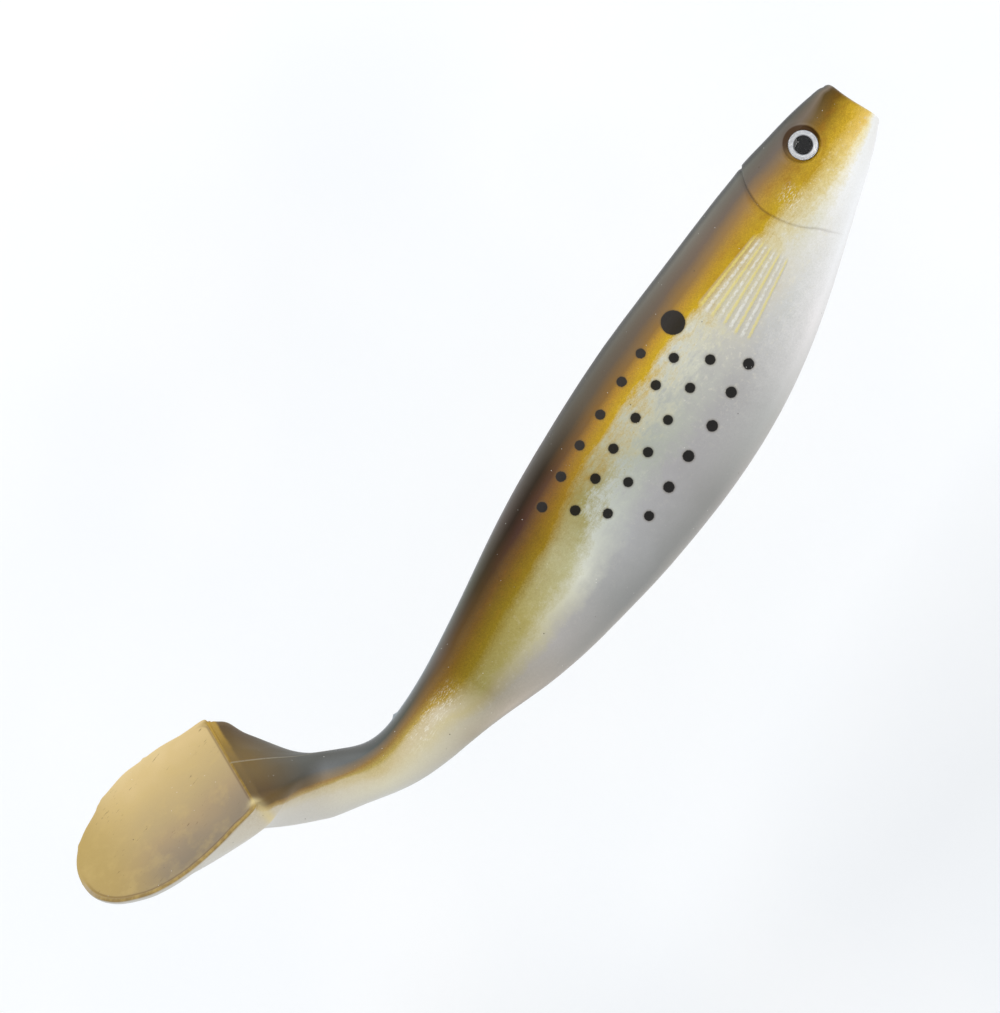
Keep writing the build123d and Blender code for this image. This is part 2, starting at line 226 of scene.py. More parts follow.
def paddle_point(x, c, q):
    x, c, q = np.broadcast_arrays(np.asarray(x, float), np.asarray(c, float), np.asarray(q, float))
    return TOP + x[..., None] * R + c[..., None] * P + q[..., None] * Q


# ---- the rings of the one continuous skin ---------------------------------------------------------
rings, tags = [], []                      # ring points in grid steps; (length coordinate, zone)


def add_ring(points, sl, zone, inset=0.0):
    rings.append(points)
    tags.append((sl, zone, inset))


# blunt nose face, slightly crowned, with a rounded edge
ROUND = 5.5
face_line = pchip([(-40, -1.6), (-28, -3.4), (-20, -3.9), (-8, -3.2), (2, -2.5), (13, -2.2), (25, -2.5), (33, -1.9), (40, -1.0)])


def nose_ring(inset, turn):
    """inset from the outline; turn 0 on the flank, 1 on the face."""
    base = body_section(3.0)
    D, B, w = float(dorsal(3)), float(ventral(3)), float(width(3))
    m, h = (D + B) / 2, (D - B) / 2
    d = m + (base[:, 1] - m) * (h - inset) / h
    z = base[:, 2] * (w - inset) / w
    lift = ROUND * (1 - turn)
    s = face_line(d) + 1.4 * (z / 25.0) ** 2 * smooth(inset, 26, 4) + lift
    return np.stack([s, d, z], -1)


for lam in (0.03, 0.08, 0.15, 0.23, 0.32, 0.41, 0.50, 0.59, 0.67, 0.75, 0.82, 0.88, 0.93, 0.97):
    full = nose_ring(ROUND, 1.0)
    c = np.array((0.0, (float(dorsal(3)) + float(ventral(3))) / 2, 0.0))
    d, z = c[1] + (full[:, 1] - c[1]) * lam, full[:, 2] * lam
    s = face_line(d) + 1.4 * (z / 25.0) ** 2
    add_ring(np.stack([s, d, z], -1), 2.0, "nose")
for k in range(0, 7):
    phi = math.radians(90 - 15 * k)
    add_ring(nose_ring(ROUND * (1 - math.cos(phi)), math.sin(phi)), 3.0, "nose")
# ease from the crowned edge to flat sections
start = rings[-1]
for k in range(1, 5):
    q = k / 5.0
    s = start[:, 0] * (1 - q) + 8.0 * q
    D, B, w = dorsal(s), ventral(s), width(s)
    x, y = oval(1.0, 2.0)
    add_ring(np.stack([s, D + (D - B) / 2 * y, SIDE * x * w], -1), float(s.mean()), "body")

stations, s = [], 8.0
while s < 760:
    stations.append(s)
    s += (1.6 if s < 38 else 0.85 if s < 90 else 1.6 if s < 104 else 1.0 if s < 142 else 2.0 if s < 300 else 2.3 if s < 520
          else 2.6 if s < 650 else 2.2)
for s in stations:
    add_ring(body_section(s), s, "body")

# tail stem and neck: cubic through the key sections
keys, key_sl = [body_section(s) for s in (690, 715, 738, 760)], [690.0, 715.0, 738.0, 760.0]
for s, d, z, he, ri, tw, depth, w, f, share, drop in STEM:
    t, n, r = grid_frame(he, ri, tw)
    keys.append(section((s, d, z), n, r, depth, w, f, share, drop))
    key_sl.append(float(s))
for (rc, rq), (kc, kq), w, f, drop in NECK:
    a, b = paddle_point(0, rc, rq), paddle_point(0, kc, kq)
    up = unit(a - b)
    side_q = smooth(W, CORNER - 0.002, CORNER + 0.035) * smooth(W, 0.49, 0.30)
    deep = {-16.0: 20.0, -8.0: 28.0, -3.0: 36.0}[rc]
    keys.append(section(a, up, R, float(np.linalg.norm(a - b)), w, f, 1.0, drop) - Q * (deep * side_q)[:, None])
    key_sl.append({-16.0: 884.0, -8.0: 892.0, -3.0: 899.0}[rc])

# paddle outline round the plate, corner to tip, right and left

def outline(side):
    """Points (x, c) of one side in grid steps at each W: top middle, corner at CORNER, tip at 0.5."""
    tab = [(c / 0.225, (a if side > 0 else b) / 0.225) for c, a, b in PADDLE]
    pts = [(x, c) for c, x in tab]
    pts = [(pts[0][0] * q, 0.0) for q in (0, 0.25, 0.5, 0.75, 0.9, 0.96)] + [(pts[0][0], 0.25)] + pts[1:] + [(0.0, PADDLE_LENGTH / 0.225)]
    pts = np.array(pts)
    # round it with a chord-length cubic on the side and tip
    seg = np.r_[0, np.cumsum(np.linalg.norm(np.diff(pts, axis=0), axis=1))]
    k0 = 5
    f = spline(seg[k0:], pts[k0:])
    fine = np.array([[q * pts[k0][0], 0.0] for q in np.linspace(0, 1, 60)[:-1]] + [f(t) for t in np.linspace(seg[k0], seg[-1], 500)])
    run = np.r_[0, np.cumsum(np.linalg.norm(np.diff(fine, axis=0), axis=1))]
    corner = run[59] + 5.2
    at = np.where(W <= CORNER, W / CORNER * corner, corner + (W - CORNER) / (0.5 - CORNER) * (run[-1] - corner))
    return np.stack([np.interp(at, run, fine[:, 0]), np.interp(at, run, fine[:, 1])], -1)


rim_r, rim_l = outline(1), outline(-1)
RIM = np.where((SIDE > 0)[:, None], rim_r, rim_l * np.array((-1.0, 1.0)))
RIM[0] = (0.0, 0.0)
# moulding unevenness of the far edge
far = smooth(-RIM[:, 0], 20, 50)
cc = RIM[:, 1]
wobble = (0.9 * np.sin(cc / 7.3 + 0.6) * bell(cc, 120, 60) + 1.5 * bell(cc, 76, 2.2) - 1.6 * smooth(cc, 141, 146) * smooth(cc, 166, 150)
          + 1.0 * bell(cc, 133, 4) + 1.1 * bell(cc, 178, 2.5))


def rim_normal():
    t = np.roll(RIM, -1, 0) - np.roll(RIM, 1, 0)
    n = np.stack([t[:, 1], -t[:, 0]], -1)
    n /= np.linalg.norm(n, axis=1)[:, None] + 1e-12
    centre = np.array((0.0, 88.0))
    n *= np.sign(((RIM - centre) * n).sum(1))[:, None]
    return n


NRM = rim_normal()
for _ in range(6):
    NRM = (NRM + 0.5 * np.roll(NRM, 1, 0) + 0.5 * np.roll(NRM, -1, 0)) / 2
    NRM /= np.linalg.norm(NRM, axis=1)[:, None]
RIM = RIM + NRM * (far * wobble)[:, None]
G = smooth(W, CORNER - 0.004, CORNER + 0.045)      # 0 along the top edge, 1 round the free rim


def plate_ring(inset, q, q_top=None):
    """A ring parallel to the outline; along the top edge it stays by the edge."""
    pt = RIM - NRM * inset
    return paddle_point(pt[:, 0], pt[:, 1], q * G + (q if q_top is None else q_top) * (1 - G))


front = []                                          # front face out to the rim
last = keys[-1]
# the plate thickens into a wedge toward the corners of the top edge
WEDGE = 9.0 + 39.0 * np.exp(-(RIM[:, 1] / 41.0) ** 2) * smooth(np.abs(RIM[:, 0]), 10, 45)
fr = plate_ring(6.0, -WEDGE, -1.0)
top_fr = paddle_point(RIM[:, 0], -1.3 + 0 * W, -1.1 + 0 * W)
fr = fr * G[:, None] + top_fr * (1 - G)[:, None]
for lam, bulge in ((0.5, 1.2),):
    mid = last * (1 - lam) + fr * lam - Q * (bulge * G)[:, None]
    keys.append(mid)
    key_sl.append(902.0)
keys.append(fr)
key_sl.append(905.0)
centres = [k[: M // 2 + 1].mean(0) for k in keys]
run = np.r_[0, np.cumsum([max(2.0, np.linalg.norm(b - a, axis=1)[CORNER_J::8].mean()) for a, b in zip(keys, keys[1:])])]
path = spline(run, np.array(keys))
sl_of = pchip(list(zip(run, key_sl)))
t0 = run[3]
count = int((run[-1] - t0) / 2.3)
for k in range(1, count + 1):
    t = t0 + (run[-1] - t0) * k / count
    add_ring(path(t), float(sl_of(t)), "stem")


def rim_ring(inset, q, c_top, q_top, zone, depth_in):
    pt = RIM - NRM * inset
    edge = paddle_point(RIM[:, 0] * (1 - 0.004 * depth_in), np.full(M, c_top), np.full(M, q_top))
    side = paddle_point(pt[:, 0], pt[:, 1], -q * np.minimum(WEDGE, 11.0 + (WEDGE - 11.0) * smooth(q, 0.05, 0.6)))
    add_ring(side * G[:, None] + edge * (1 - G)[:, None], 908.0, zone, depth_in)


# round the rim: front rounding, side wall, rear rounding with its small raised lip
for inset, q, ct, qt, zone, din in (
        (4.2, 0.955, -1.05, -0.85, "wall", -6.0), (2.6, 0.87, -0.85, -0.65, "wall", -5.0),
        (1.3, 0.74, -0.65, -0.48, "wall", -4.0), (0.45, 0.59, -0.5, -0.35, "wall", -3.2),
        (0.1, 0.43, -0.4, -0.25, "wall", -2.6), (0.0, 0.29, -0.3, -0.18, "wall", -2.0),
        (0.15, 0.18, -0.2, -0.10, "wall", -1.5), (0.6, 0.09, -0.1, -0.03, "lip", -1.0), (1.3, 0.028, 0.0, 0.02, "lip", 0.0),
        (2.2, -0.006, 0.35, 0.04, "lip", 1.0), (3.2, -0.010, 0.9, 0.02, "lip", 2.0)):
    rim_ring(inset, q, ct, qt, zone, din)
# rear face: inside the lip, then shrinking to the middle
for inset, q in ((4.3, -0.05), (5.6, -0.35), (7.2, -0.65), (9.2, -0.9), (11.8, -1.1)):
    pt = RIM - NRM * inset
    pt[:, 1] = np.where(W < CORNER, np.maximum(pt[:, 1], inset - 2.2), pt[:, 1])
    lowpt = RIM * np.array((1 - 0.006 * inset, 1.0)) + np.array((0.0, 1.0)) * (inset - 2.3)
    p2 = lowpt * (1 - G)[:, None] + pt * G[:, None]
    add_ring(paddle_point(p2[:, 0], p2[:, 1], np.full(M, q)), 908.0, "face", inset)
inner = p2.copy()
mid_face = np.array((0.0, 90.0))
for lam in (0.94, 0.88, 0.81, 0.74, 0.67, 0.60, 0.53, 0.46, 0.39, 0.32, 0.25, 0.19, 0.13, 0.08, 0.04):
    p2 = mid_face + (inner - mid_face) * lam
    q = -1.1 - 0.9 * (1 - lam * lam)
    add_ring(paddle_point(p2[:, 0], p2[:, 1], np.full(M, q)), 908.0, "face", 12 + 60 * (1 - lam))

GRID = np.array(rings)                    # rings x M x 3, grid steps
SL = np.array([t[0] for t in tags])
ZONE = [t[1] for t in tags]
INSET = np.array([t[2] for t in tags])
NR = len(GRID)

# relax the neck so the stem runs into the corners of the paddle without a fold
STEMZ = np.array([z == "stem" for z in ZONE])
WALLZ = np.array([z == "wall" for z in ZONE])
down_paddle = (GRID - TOP) @ P
relax = (STEMZ | WALLZ)[:, None] * smooth(SL, 852, 872)[:, None] * smooth(W, CORNER + 0.002, CORNER + 0.03) * smooth(down_paddle, 82, 40)
relax = np.maximum(relax, 1.0 * (STEMZ * smooth(SL, 838, 852) * smooth(SL, 897, 886))[:, None] * smooth(W, 0.05, 0.11))
for _ in range(420):
    mean = (np.roll(GRID, 1, 1) + np.roll(GRID, -1, 1))
    mean[1:-1] += GRID[2:] + GRID[:-2]
    mean[1:-1] /= 4
    mean[0], mean[-1] = GRID[0], GRID[-1]
    GRID = GRID + 0.5 * relax[..., None] * (mean - GRID)

# the far corner of the top edge is blunt: the neck side stands nearly as high as the edge itself
shot_x, shot_y = -GRID[..., 0] * 0.5807 - GRID[..., 1] * 0.8141, GRID[..., 0] * 0.8141 - GRID[..., 1] * 0.5807
crest = np.interp(shot_x, (-646.0, -601.0), (616.5, 632.0))
lift = STEMZ[:, None] * smooth(SL, 866, 880)[:, None] * bell(shot_x, -627.0, 12.0) * smooth(shot_y - crest, 26, 4)
GRID = GRID + (5.5 * lift)[..., None] * np.array([-0.8141, 0.5807, 0.0])


def smooth_normals(g):
    """Outward unit normals of the ring grid."""
    du = np.roll(g, -1, 1) - np.roll(g, 1, 1)
    dr = np.empty_like(g)
    dr[1:-1] = g[2:] - g[:-2]
    dr[0], dr[-1] = g[1] - g[0], g[-1] - g[-2]
    n = np.cross(du, dr)
    ln = np.linalg.norm(n, axis=2)
    n /= ln[..., None] + 1e-12
    mid = NR // 3
    out = g[mid] - g[mid].mean(0)
    if (n[mid] * out).sum() < 0:
        n = -n
    return n


# ---- raised and sunk detail -----------------------------------------------------------------------
NORMAL0 = smooth_normals(GRID)
S, D_, Z_ = GRID[..., 0], GRID[..., 1], GRID[..., 2]
BODY = (SL[:, None] < 700) & np.ones((NR, M), bool)
lift = np.zeros((NR, M))
# gill plate: raised ahead of the crease, a fine groove behind it
e = S - gill(D_)
fade = smooth(D_, -76, -50) * (SL[:, None] < 240)
lift += fade * np.where(e < 0, 1.15 * np.exp(-(e / 22.0) ** 2), 1.15 * smooth(e, 2.2, 0.0)) * smooth(S, 70, 92)
lift -= fade * 0.8 * bell(e, 2.8, 1.7)
lift += fade * 0.35 * bell(e, 9.5, 4.0)
# pectoral fin: fine rays fanned from the root
tt = np.clip((S - 165.0) / 92.0, -0.1, 1.15)
lines = [(1 - tt) * a[1] + tt * b[1] for a, b in zip(RAYS_ROOT, RAYS_TIP)]
rho = np.zeros((NR, M))
rho += (lines[0] - D_) / (lines[0] - lines[1]) * (D_ > lines[1])
for k in range(1, 4):
    sel = (D_ <= lines[k]) & ((D_ > lines[k + 1]) | (k == 3))
    rho = np.where(sel, k + (lines[k] - D_) / (lines[k] - lines[k + 1]), rho)
tip_s = 258 + 1.5 * np.sin(rho * 2.6) - 1.2 * np.abs(rho - 2.0)
FIN = smooth(S, 162, 170) * smooth(S, tip_s, tip_s - 5) * smooth(rho, -0.32, -0.18) * smooth(rho, 4.28, 4.12) * (SL[:, None] < 300)
lift += FIN * (0.50 * np.cos(rho * 4 * math.pi) + 0.22 * np.cos(rho * 2 * math.pi))
# root scar of the fin
lift -= 0.45 * bell(S - 166 - 2.0 * np.cos((D_ + 16) / 14.0), 0, 3.2) * smooth(D_, -44, -36) * smooth(D_, 9, 2) * (SL[:, None] < 300)
# mould parting line on the back and the keel
seam_r = np.exp(-(np.minimum(W, 1.0) / 0.0022) ** 2) + np.exp(-((0.5 - W) / 0.0022) ** 2)
skin_len = ((SL > 6) & (SL < 896))[:, None]
lift += 0.30 * seam_r * skin_len
# flash nub on the back at the tail root
lift += 2.0 * bell(S, 764.0, 2.6) * np.exp(-(W / 0.010) ** 2) * (np.abs(SL[:, None] - 764) < 14)
# slow unevenness of the soft moulding
onplate = np.array([z in ("wall", "lip", "face") for z in ZONE])[:, None]
lift += 0.06 * waves(GRID, 5, 70.0) * np.where(onplate, 0.6, 1.0) * (SL > 10)[:, None]
lift += 0.035 * waves(GRID, 9, 24.0) * (SL > 10)[:, None]
GRID = GRID + NORMAL0 * lift[..., None]

# eye sockets, both sides: floor square to the eye's axis
S, D_, Z_ = GRID[..., 0], GRID[..., 1], GRID[..., 2]
dist_socket = np.hypot(S - SOCKET_AT[0], D_ - SOCKET_AT[1])
floor_z = EYE_SEAT + 0.121 * (S - EYE_AT[0]) - 0.091 * (D_ - EYE_AT[1])
head = (SL < 110)[:, None] & (np.abs(Z_) > 12)
m = smooth(dist_socket, SOCKET_R + 1.1, SOCKET_R - 1.6) * head
sunk = np.minimum(np.abs(Z_), floor_z + 0.3)
newz = np.abs(Z_) * (1 - m) + sunk * m
# a soft raised brow round the socket
newz = newz + 0.8 * bell(dist_socket, SOCKET_R + 3.2, 2.6) * head
GRID = np.stack([S, D_, np.where(head, np.sign(Z_) * newz, Z_)], -1)

POINTS = place(GRID)
NORMALS = smooth_normals(POINTS)

# ---- painted fields stored on the skin ------------------------------------------------------------
# band: 0 ridge, 1 where the smoke back ends, 2 where the gold ends, 3 keel
TOP_LINE = [(0, 27), (40, 23), (60, 23.5), (90, 25), (120, 28), (200, 28), (300, 30), (400, 31), (480, 29), (540, 24),
            (610, 20), (650, 15), (690, 9), (720, 8), (750, 7), (766, 6.5)]
LOW_LINE = [(0, -16), (40, -15), (60, -16), (90, -17), (120, -13), (160, -8), (200, -3), (240, 1), (300, 7), (400, 8), (450, 6.5),
            (480, 1), (510, -9), (540, -16), (610, -22), (650, -25), (690, -28), (715, -24), (735, -12), (750, -8), (766, -7)]


def w_of(d, s):
    D, B = dorsal(s), ventral(s)
    q = 1 - 2 * (D - d) / (D - B)
    a = np.arcsin(np.clip(np.sign(q) * np.abs(q) ** (1 / POWER), -1, 1))
    return 0.25 - a / (2 * math.pi)


# on the stem and neck the two edges are nearly straight seen from above; across and down in grid steps from the nose
SMOKE_EDGE = [(-600, 706), (-577, 695), (-565, 691), (-553, 684), (-541, 679), (-529, 675), (-517, 672), (-505, 667), (-493, 661),
              (-481, 654), (-469, 645), (-450, 632)]
GOLD_EDGE = [(-600, 711), (-577, 702), (-565, 698), (-553, 692.5), (-541, 687.5), (-529, 683), (-517, 678), (-505, 674), (-493, 670),
             (-481, 666), (-469, 662), (-450, 652)]


def edge_w(ring, line):
    """Where a ring's near side crosses a line drawn from above."""
    pts = ring[1:M // 2]
    across, down = -pts[:, 0] * 0.5807 - pts[:, 1] * 0.8141, pts[:, 0] * 0.8141 - pts[:, 1] * 0.5807
    gap = down - np.interp(across, [a for a, _ in line], [b for _, b in line])
    hit = np.nonzero(gap >= 0)[0]
    return float(W[1 + (hit[0] if len(hit) else M // 2 - 2)])


top_tab = [(s, float(w_of(d, s))) for s, d in TOP_LINE] + [(785, 0.150), (803, 0.172)]
low_tab = [(s, float(w_of(d, s))) for s, d in LOW_LINE] + [(785, 0.222), (803, 0.238)]
for s in (818, 826, 836, 845, 852, 860, 868, 876, 884, 891, 897):
    i = int(np.argmin(np.abs(SL - s) + 100.0 * np.array([z != "stem" for z in ZONE])))
    top_tab.append((s, float(np.clip(edge_w(GRID[i], SMOKE_EDGE), 0.15, 0.30))))
    low_tab.append((s, float(np.clip(edge_w(GRID[i], GOLD_EDGE), top_tab[-1][1] + 0.012, 0.33))))
top_tab += [(904, 0.199), (910, 0.199)]
low_tab += [(904, 0.215), (910, 0.215)]
w1, w2 = pchip(top_tab)(SL)[:, None], pchip(low_tab)(SL)[:, None]
WW = np.array(np.broadcast_to(W, (NR, M)))
# on the blunt face the colours run straight across from side to side
for i, z in enumerate(ZONE):
    if z == "nose":
        mixed = smooth(SL[i], 3.2, 2.2) if SL[i] < 3 else smooth(i, np.sum(SL < 3.0) + 6, np.sum(SL < 3.0))
        WW[i] = WW[i] * (1 - mixed) + w_of(np.clip(GRID[i, :, 1], -30.5, 32.0), 3.0) * mixed
w1, w2 = np.array(w1), np.array(w2)
w1[SL < 8], w2[SL < 8] = w1[SL >= 8][0], w2[SL >= 8][0]
BAND = np.where(WW < w1, WW / w1, np.where(WW < w2, 1 + (WW - w1) / (w2 - w1), 2 + (WW - w2) / (0.5 - w2)))

spot = np.full((NR, M), 9.0)
tone = np.zeros((NR, M))
for ss, sd, sr, up in SPOTS:
    r = np.hypot(S - ss, D_ - sd) - sr
    tone = np.where(r < spot, float(up), tone)
    spot = np.minimum(spot, r)
spot = np.where(BODY, spot, 9.0)
# mask for the painted shade along the gill crease
crease = fade * bell(e, 1.9, 0.95)
px = ((GRID - TOP) @ R)
pc = ((GRID - TOP) @ P)
pq = ((GRID - TOP) @ Q)
ZF = np.array([1.0 if z == "face" else 0.0 for z in ZONE])[:, None] * np.ones((1, M))
# gold line on the near rim and along the top edge; on the far side the tan face runs out to the rounding
near = np.maximum(smooth(px[-1 - 20:].mean(0), -6, 22), smooth(W, CORNER + 0.02, CORNER - 0.01))
LIP, LIP_SHADOW = np.zeros((NR, M)), np.zeros((NR, M))
for i, z in enumerate(ZONE):
    if z == "lip":
        LIP[i] = near
        ZF[i] = 1 - near
    elif z == "wall":
        LIP[i] = near * smooth(INSET[i], -1.9, -1.0)
        ZF[i] = (1 - near) * smooth(INSET[i], -4.5, -2.5)
    elif z == "face":
        LIP[i] = near * smooth(INSET[i], 5.2, 3.6)
        # painted shadow of the raised lip: a dark line just inside it on the near side
        LIP_SHADOW[i] = near * float(bell(INSET[i], 5.4, 1.0))
neck_top = ((SL > 876) & np.array([z != "face" for z in ZONE]))[:, None] * smooth(W, CORNER + 0.012, CORNER - 0.004)
BRIM = neck_top * smooth(pc, -11, -3)
KNOB = bell(px, 65.0, 5.5) * bell(pc, 1.0, 6.0) * (SL > 876)[:, None]
FIELDS = {
    "sl": np.broadcast_to((SL / 100.0)[:, None], (NR, M)),
    "band": BAND,
    "dd": D_ / 100.0,
    "spot": spot,
    "tone": tone,
    "crease": crease,
    "ray": rho,
    "fin": FIN,
    "socket": np.where(head, dist_socket, 99.0),
    # direction across the socket toward the side where its shade is painted
    "brow": ((S - EYE_AT[0]) * -0.62 + (D_ - EYE_AT[1]) * 0.785) / 20.0,
    "face": ZF,
    "lip": LIP,
    "lip_shadow": LIP_SHADOW,
    "brim": BRIM,
    "knob": KNOB,
    "px": px / 88.0,
    "pc": pc / 195.0,
    "side": np.broadcast_to(SIDE * np.sin(2 * math.pi * W), (NR, M)),
}
REST = POINTS * 1000.0                    # millimetres


# ---- skin pieces ----------------------------------------------------------------------------------
def ring_index(sl):
    return int(np.argmin(np.abs(np.where(np.array([z in ("body", "stem") for z in ZONE]), SL, 1e9) - sl)))


def make_skin(name, i0, i1, cap_first, cap_last):
    """Rings i0..i1 as a mesh; an end is closed with a flat cap or, at the nose and the paddle, a pole."""
    nr = i1 - i0 + 1
    co = POINTS[i0:i1 + 1].reshape(-1, 3)
    nrm = NORMALS[i0:i1 + 1].reshape(-1, 3)
    a = np.arange(nr - 1)[:, None] * M + np.arange(M)[None, :]
    b = np.arange(nr - 1)[:, None] * M + (np.arange(M)[None, :] + 1) % M
    quads = np.stack([a, b, b + M, a + M], -1).reshape(-1, 4)
    test = np.cross(co[quads[:, 1]] - co[quads[:, 0]], co[quads[:, 3]] - co[quads[:, 0]])
    if (test * nrm[quads[:, 0]]).sum() < 0:
        quads = quads[:, ::-1]
        flip = True
    else:
        flip = False
    extra_co, tris, tri_normals = [], [], []
    for first, kind in ((True, cap_first), (False, cap_last)):
        ring = np.arange(M) if first else (nr - 1) * M + np.arange(M)
        nxt = np.roll(ring, -1)
        pole = len(co) + len(extra_co)
        if kind == "pole":
            c = POINTS[i0 if first else i1].mean(0)
            if first:
                c = place(np.array((float(face_line((float(dorsal(3)) + float(ventral(3))) / 2)), (float(dorsal(3)) + float(ventral(3))) / 2, 0.0)))
            pn = unit(NORMALS[i0 if first else i1].mean(0))
        else:
            c = co[ring].mean(0)
            pn = unit(np.cross(co[ring] - c, co[nxt] - c).sum(0))
        extra_co.append(c)
        t = np.stack([nxt, ring, np.full(M, pole)], -1) if first else np.stack([ring, nxt, np.full(M, pole)], -1)
        if flip:
            t = t[:, ::-1]
        pool = np.vstack([co, extra_co])
        tn = np.cross(pool[t[:, 1]] - pool[t[:, 0]], pool[t[:, 2]] - pool[t[:, 0]]).sum(0)
        tn = unit(tn)
        tris.append((t, kind, pn if kind == "pole" else tn))
    allco = np.vstack([co, extra_co])
    faces = [tuple(f) for f in quads.tolist()]
    loop_normals = [nrm[quads.reshape(-1)]]
    for t, kind, pn in tris:
        faces += [tuple(f) for f in t.tolist()]
        ln = np.repeat(pn[None, :], t.size, 0)
        if kind == "pole":
            idx = t.reshape(-1)
            real = idx < len(nrm)
            ln[real] = nrm[idx[real]]
        loop_normals.append(ln)
    me = bpy.data.meshes.new(name)
    me.from_pydata(allco.tolist(), [], faces)
    me.polygons.foreach_set("use_smooth", np.ones(len(faces), bool))
    for key, arr in FIELDS.items():
        vals = np.asarray(arr[i0:i1 + 1], float).reshape(-1)
        tail = [float(np.mean(arr[i0])), float(np.mean(arr[i1]))]
        at = me.attributes.new(key, "FLOAT", "POINT")
        at.data.foreach_set("value", np.r_[vals, tail].astype(np.float32))
    at = me.attributes.new("rest", "FLOAT_VECTOR", "POINT")
    at.data.foreach_set("vector", (allco * 1000.0).astype(np.float32).reshape(-1))
    me.normals_split_custom_set(np.vstack(loop_normals).tolist())
    me.update()
    obj = bpy.data.objects.new(name, me)
    bpy.context.scene.collection.objects.link(obj)
    return obj


cuts = [ring_index(300), ring_index(650), ring_index(812), ring_index(868)]
head_skin = make_skin("forward_skin", 0, cuts[0], "pole", "cap")
belly_skin = make_skin("middle_skin", cuts[0], cuts[1], "cap", "cap")
root_skin = make_skin("tail_root_skin", cuts[1], cuts[2], "cap", "cap")
stem_skin = make_skin("tail_stem_skin", cuts[2], cuts[3], "cap", "cap")
paddle_skin = make_skin("paddle_skin", cuts[3], NR - 1, "cap", "pole")
SKINS = [head_skin, belly_skin, root_skin, stem_skin, paddle_skin]


# ---- materials ------------------------------------------------------------------------------------
def lin(rgb):
    out = []
    for c in rgb:
        c = c / 255.0
        out.append(c / 12.92 if c <= 0.04045 else ((c + 0.055) / 1.055) ** 2.4)
    return (out[0], out[1], out[2], 1.0)


class Nodes:
    """Short-hand for building one node material."""

    def __init__(self, name):
        self.mat = bpy.data.materials.new(name)
        self.mat.use_nodes = True
        self.t = self.mat.node_tree
        self.t.nodes.clear()
        self.out = self.t.nodes.new("ShaderNodeOutputMaterial")
        self.bsdf = self.t.nodes.new("ShaderNodeBsdfPrincipled")
        self.t.links.new(self.bsdf.outputs[0], self.out.inputs[0])

    def put(self, sock, value):
        if hasattr(value, "is_linked") or hasattr(value, "links"):
            self.t.links.new(value, sock)
        else:
            sock.default_value = value

    def attr(self, name, kind="Fac"):
        n = self.t.nodes.new("ShaderNodeAttribute")
        n.attribute_name = name
        return n.outputs[kind]

    def math(self, op, a, b=0.0, c=None, clamp=False):
        n = self.t.nodes.new("ShaderNodeMath")
        n.operation = op
        n.use_clamp = clamp
        self.put(n.inputs[0], a)
        self.put(n.inputs[1], b)
        if c is not None:
            self.put(n.inputs[2], c)
        return n.outputs[0]

    def span(self, x, a, b, lo=0.0, hi=1.0, soft=True):
        n = self.t.nodes.new("ShaderNodeMapRange")
        n.interpolation_type = "SMOOTHSTEP" if soft else "LINEAR"
        n.clamp = True
        self.put(n.inputs["Value"], x)
        for key, v in (("From Min", a), ("From Max", b), ("To Min", lo), ("To Max", hi)):
            self.put(n.inputs[key], v)
        return n.outputs[0]

    def ramp(self, x, stops, mode="LINEAR"):
        n = self.t.nodes.new("ShaderNodeValToRGB")
        n.color_ramp.interpolation = mode
        el = n.color_ramp.elements
        while len(el) > 1:
            el.remove(el[-1])
        el[0].position, el[0].color = stops[0][0], lin(stops[0][1])
        for p, c in stops[1:]:
            k = el.new(p)
            k.color = lin(c)
        self.put(n.inputs[0], x)
        return n.outputs[0]

    def mix(self, f, a, b, mode="MIX"):
        n = self.t.nodes.new("ShaderNodeMix")
        n.data_type = "RGBA"
        n.blend_type = mode
        n.clamp_factor = True
        ins = [s for s in n.inputs if s.type == "RGBA"]
        fac = [s for s in n.inputs if s.type == "VALUE"][0]
        self.put(fac, f)
        self.put(ins[0], a)
        self.put(ins[1], b)
        return [s for s in n.outputs if s.type == "RGBA"][0]

    def noise(self, vec, scale, detail=2.0, rough=0.5, dist=0.0):
        n = self.t.nodes.new("ShaderNodeTexNoise")
        self.put(n.inputs["Vector"], vec)
        n.inputs["Scale"].default_value = scale
        n.inputs["Detail"].default_value = detail
        n.inputs["Roughness"].default_value = rough
        n.inputs["Distortion"].default_value = dist
        return n.outputs["Fac"]

    def voronoi(self, vec, scale, feature="F1", out="Distance", random=1.0):
        n = self.t.nodes.new("ShaderNodeTexVoronoi")
        n.feature = feature
        self.put(n.inputs["Vector"], vec)
        n.inputs["Scale"].default_value = scale
        n.inputs["Randomness"].default_value = random
        return n.outputs[out]

    def stretch(self, vec, factors, rot=(0, 0, 0)):
        n = self.t.nodes.new("ShaderNodeMapping")
        self.put(n.inputs["Vector"], vec)
        n.inputs["Rotation"].default_value = rot
        n.inputs["Scale"].default_value = factors
        return n.outputs[0]

    def bump(self, height, distance, strength=1.0, normal=None):
        n = self.t.nodes.new("ShaderNodeBump")
        n.inputs["Strength"].default_value = strength
        n.inputs["Distance"].default_value = distance
        self.put(n.inputs["Height"], height)
        if normal is not None:
            self.put(n.inputs["Normal"], normal)
        return n.outputs[0]


def chart(rows):
    """Ramp stops over the length coordinate, which is s / 950."""
    return [(s / 950.0, c) for s, c in rows]


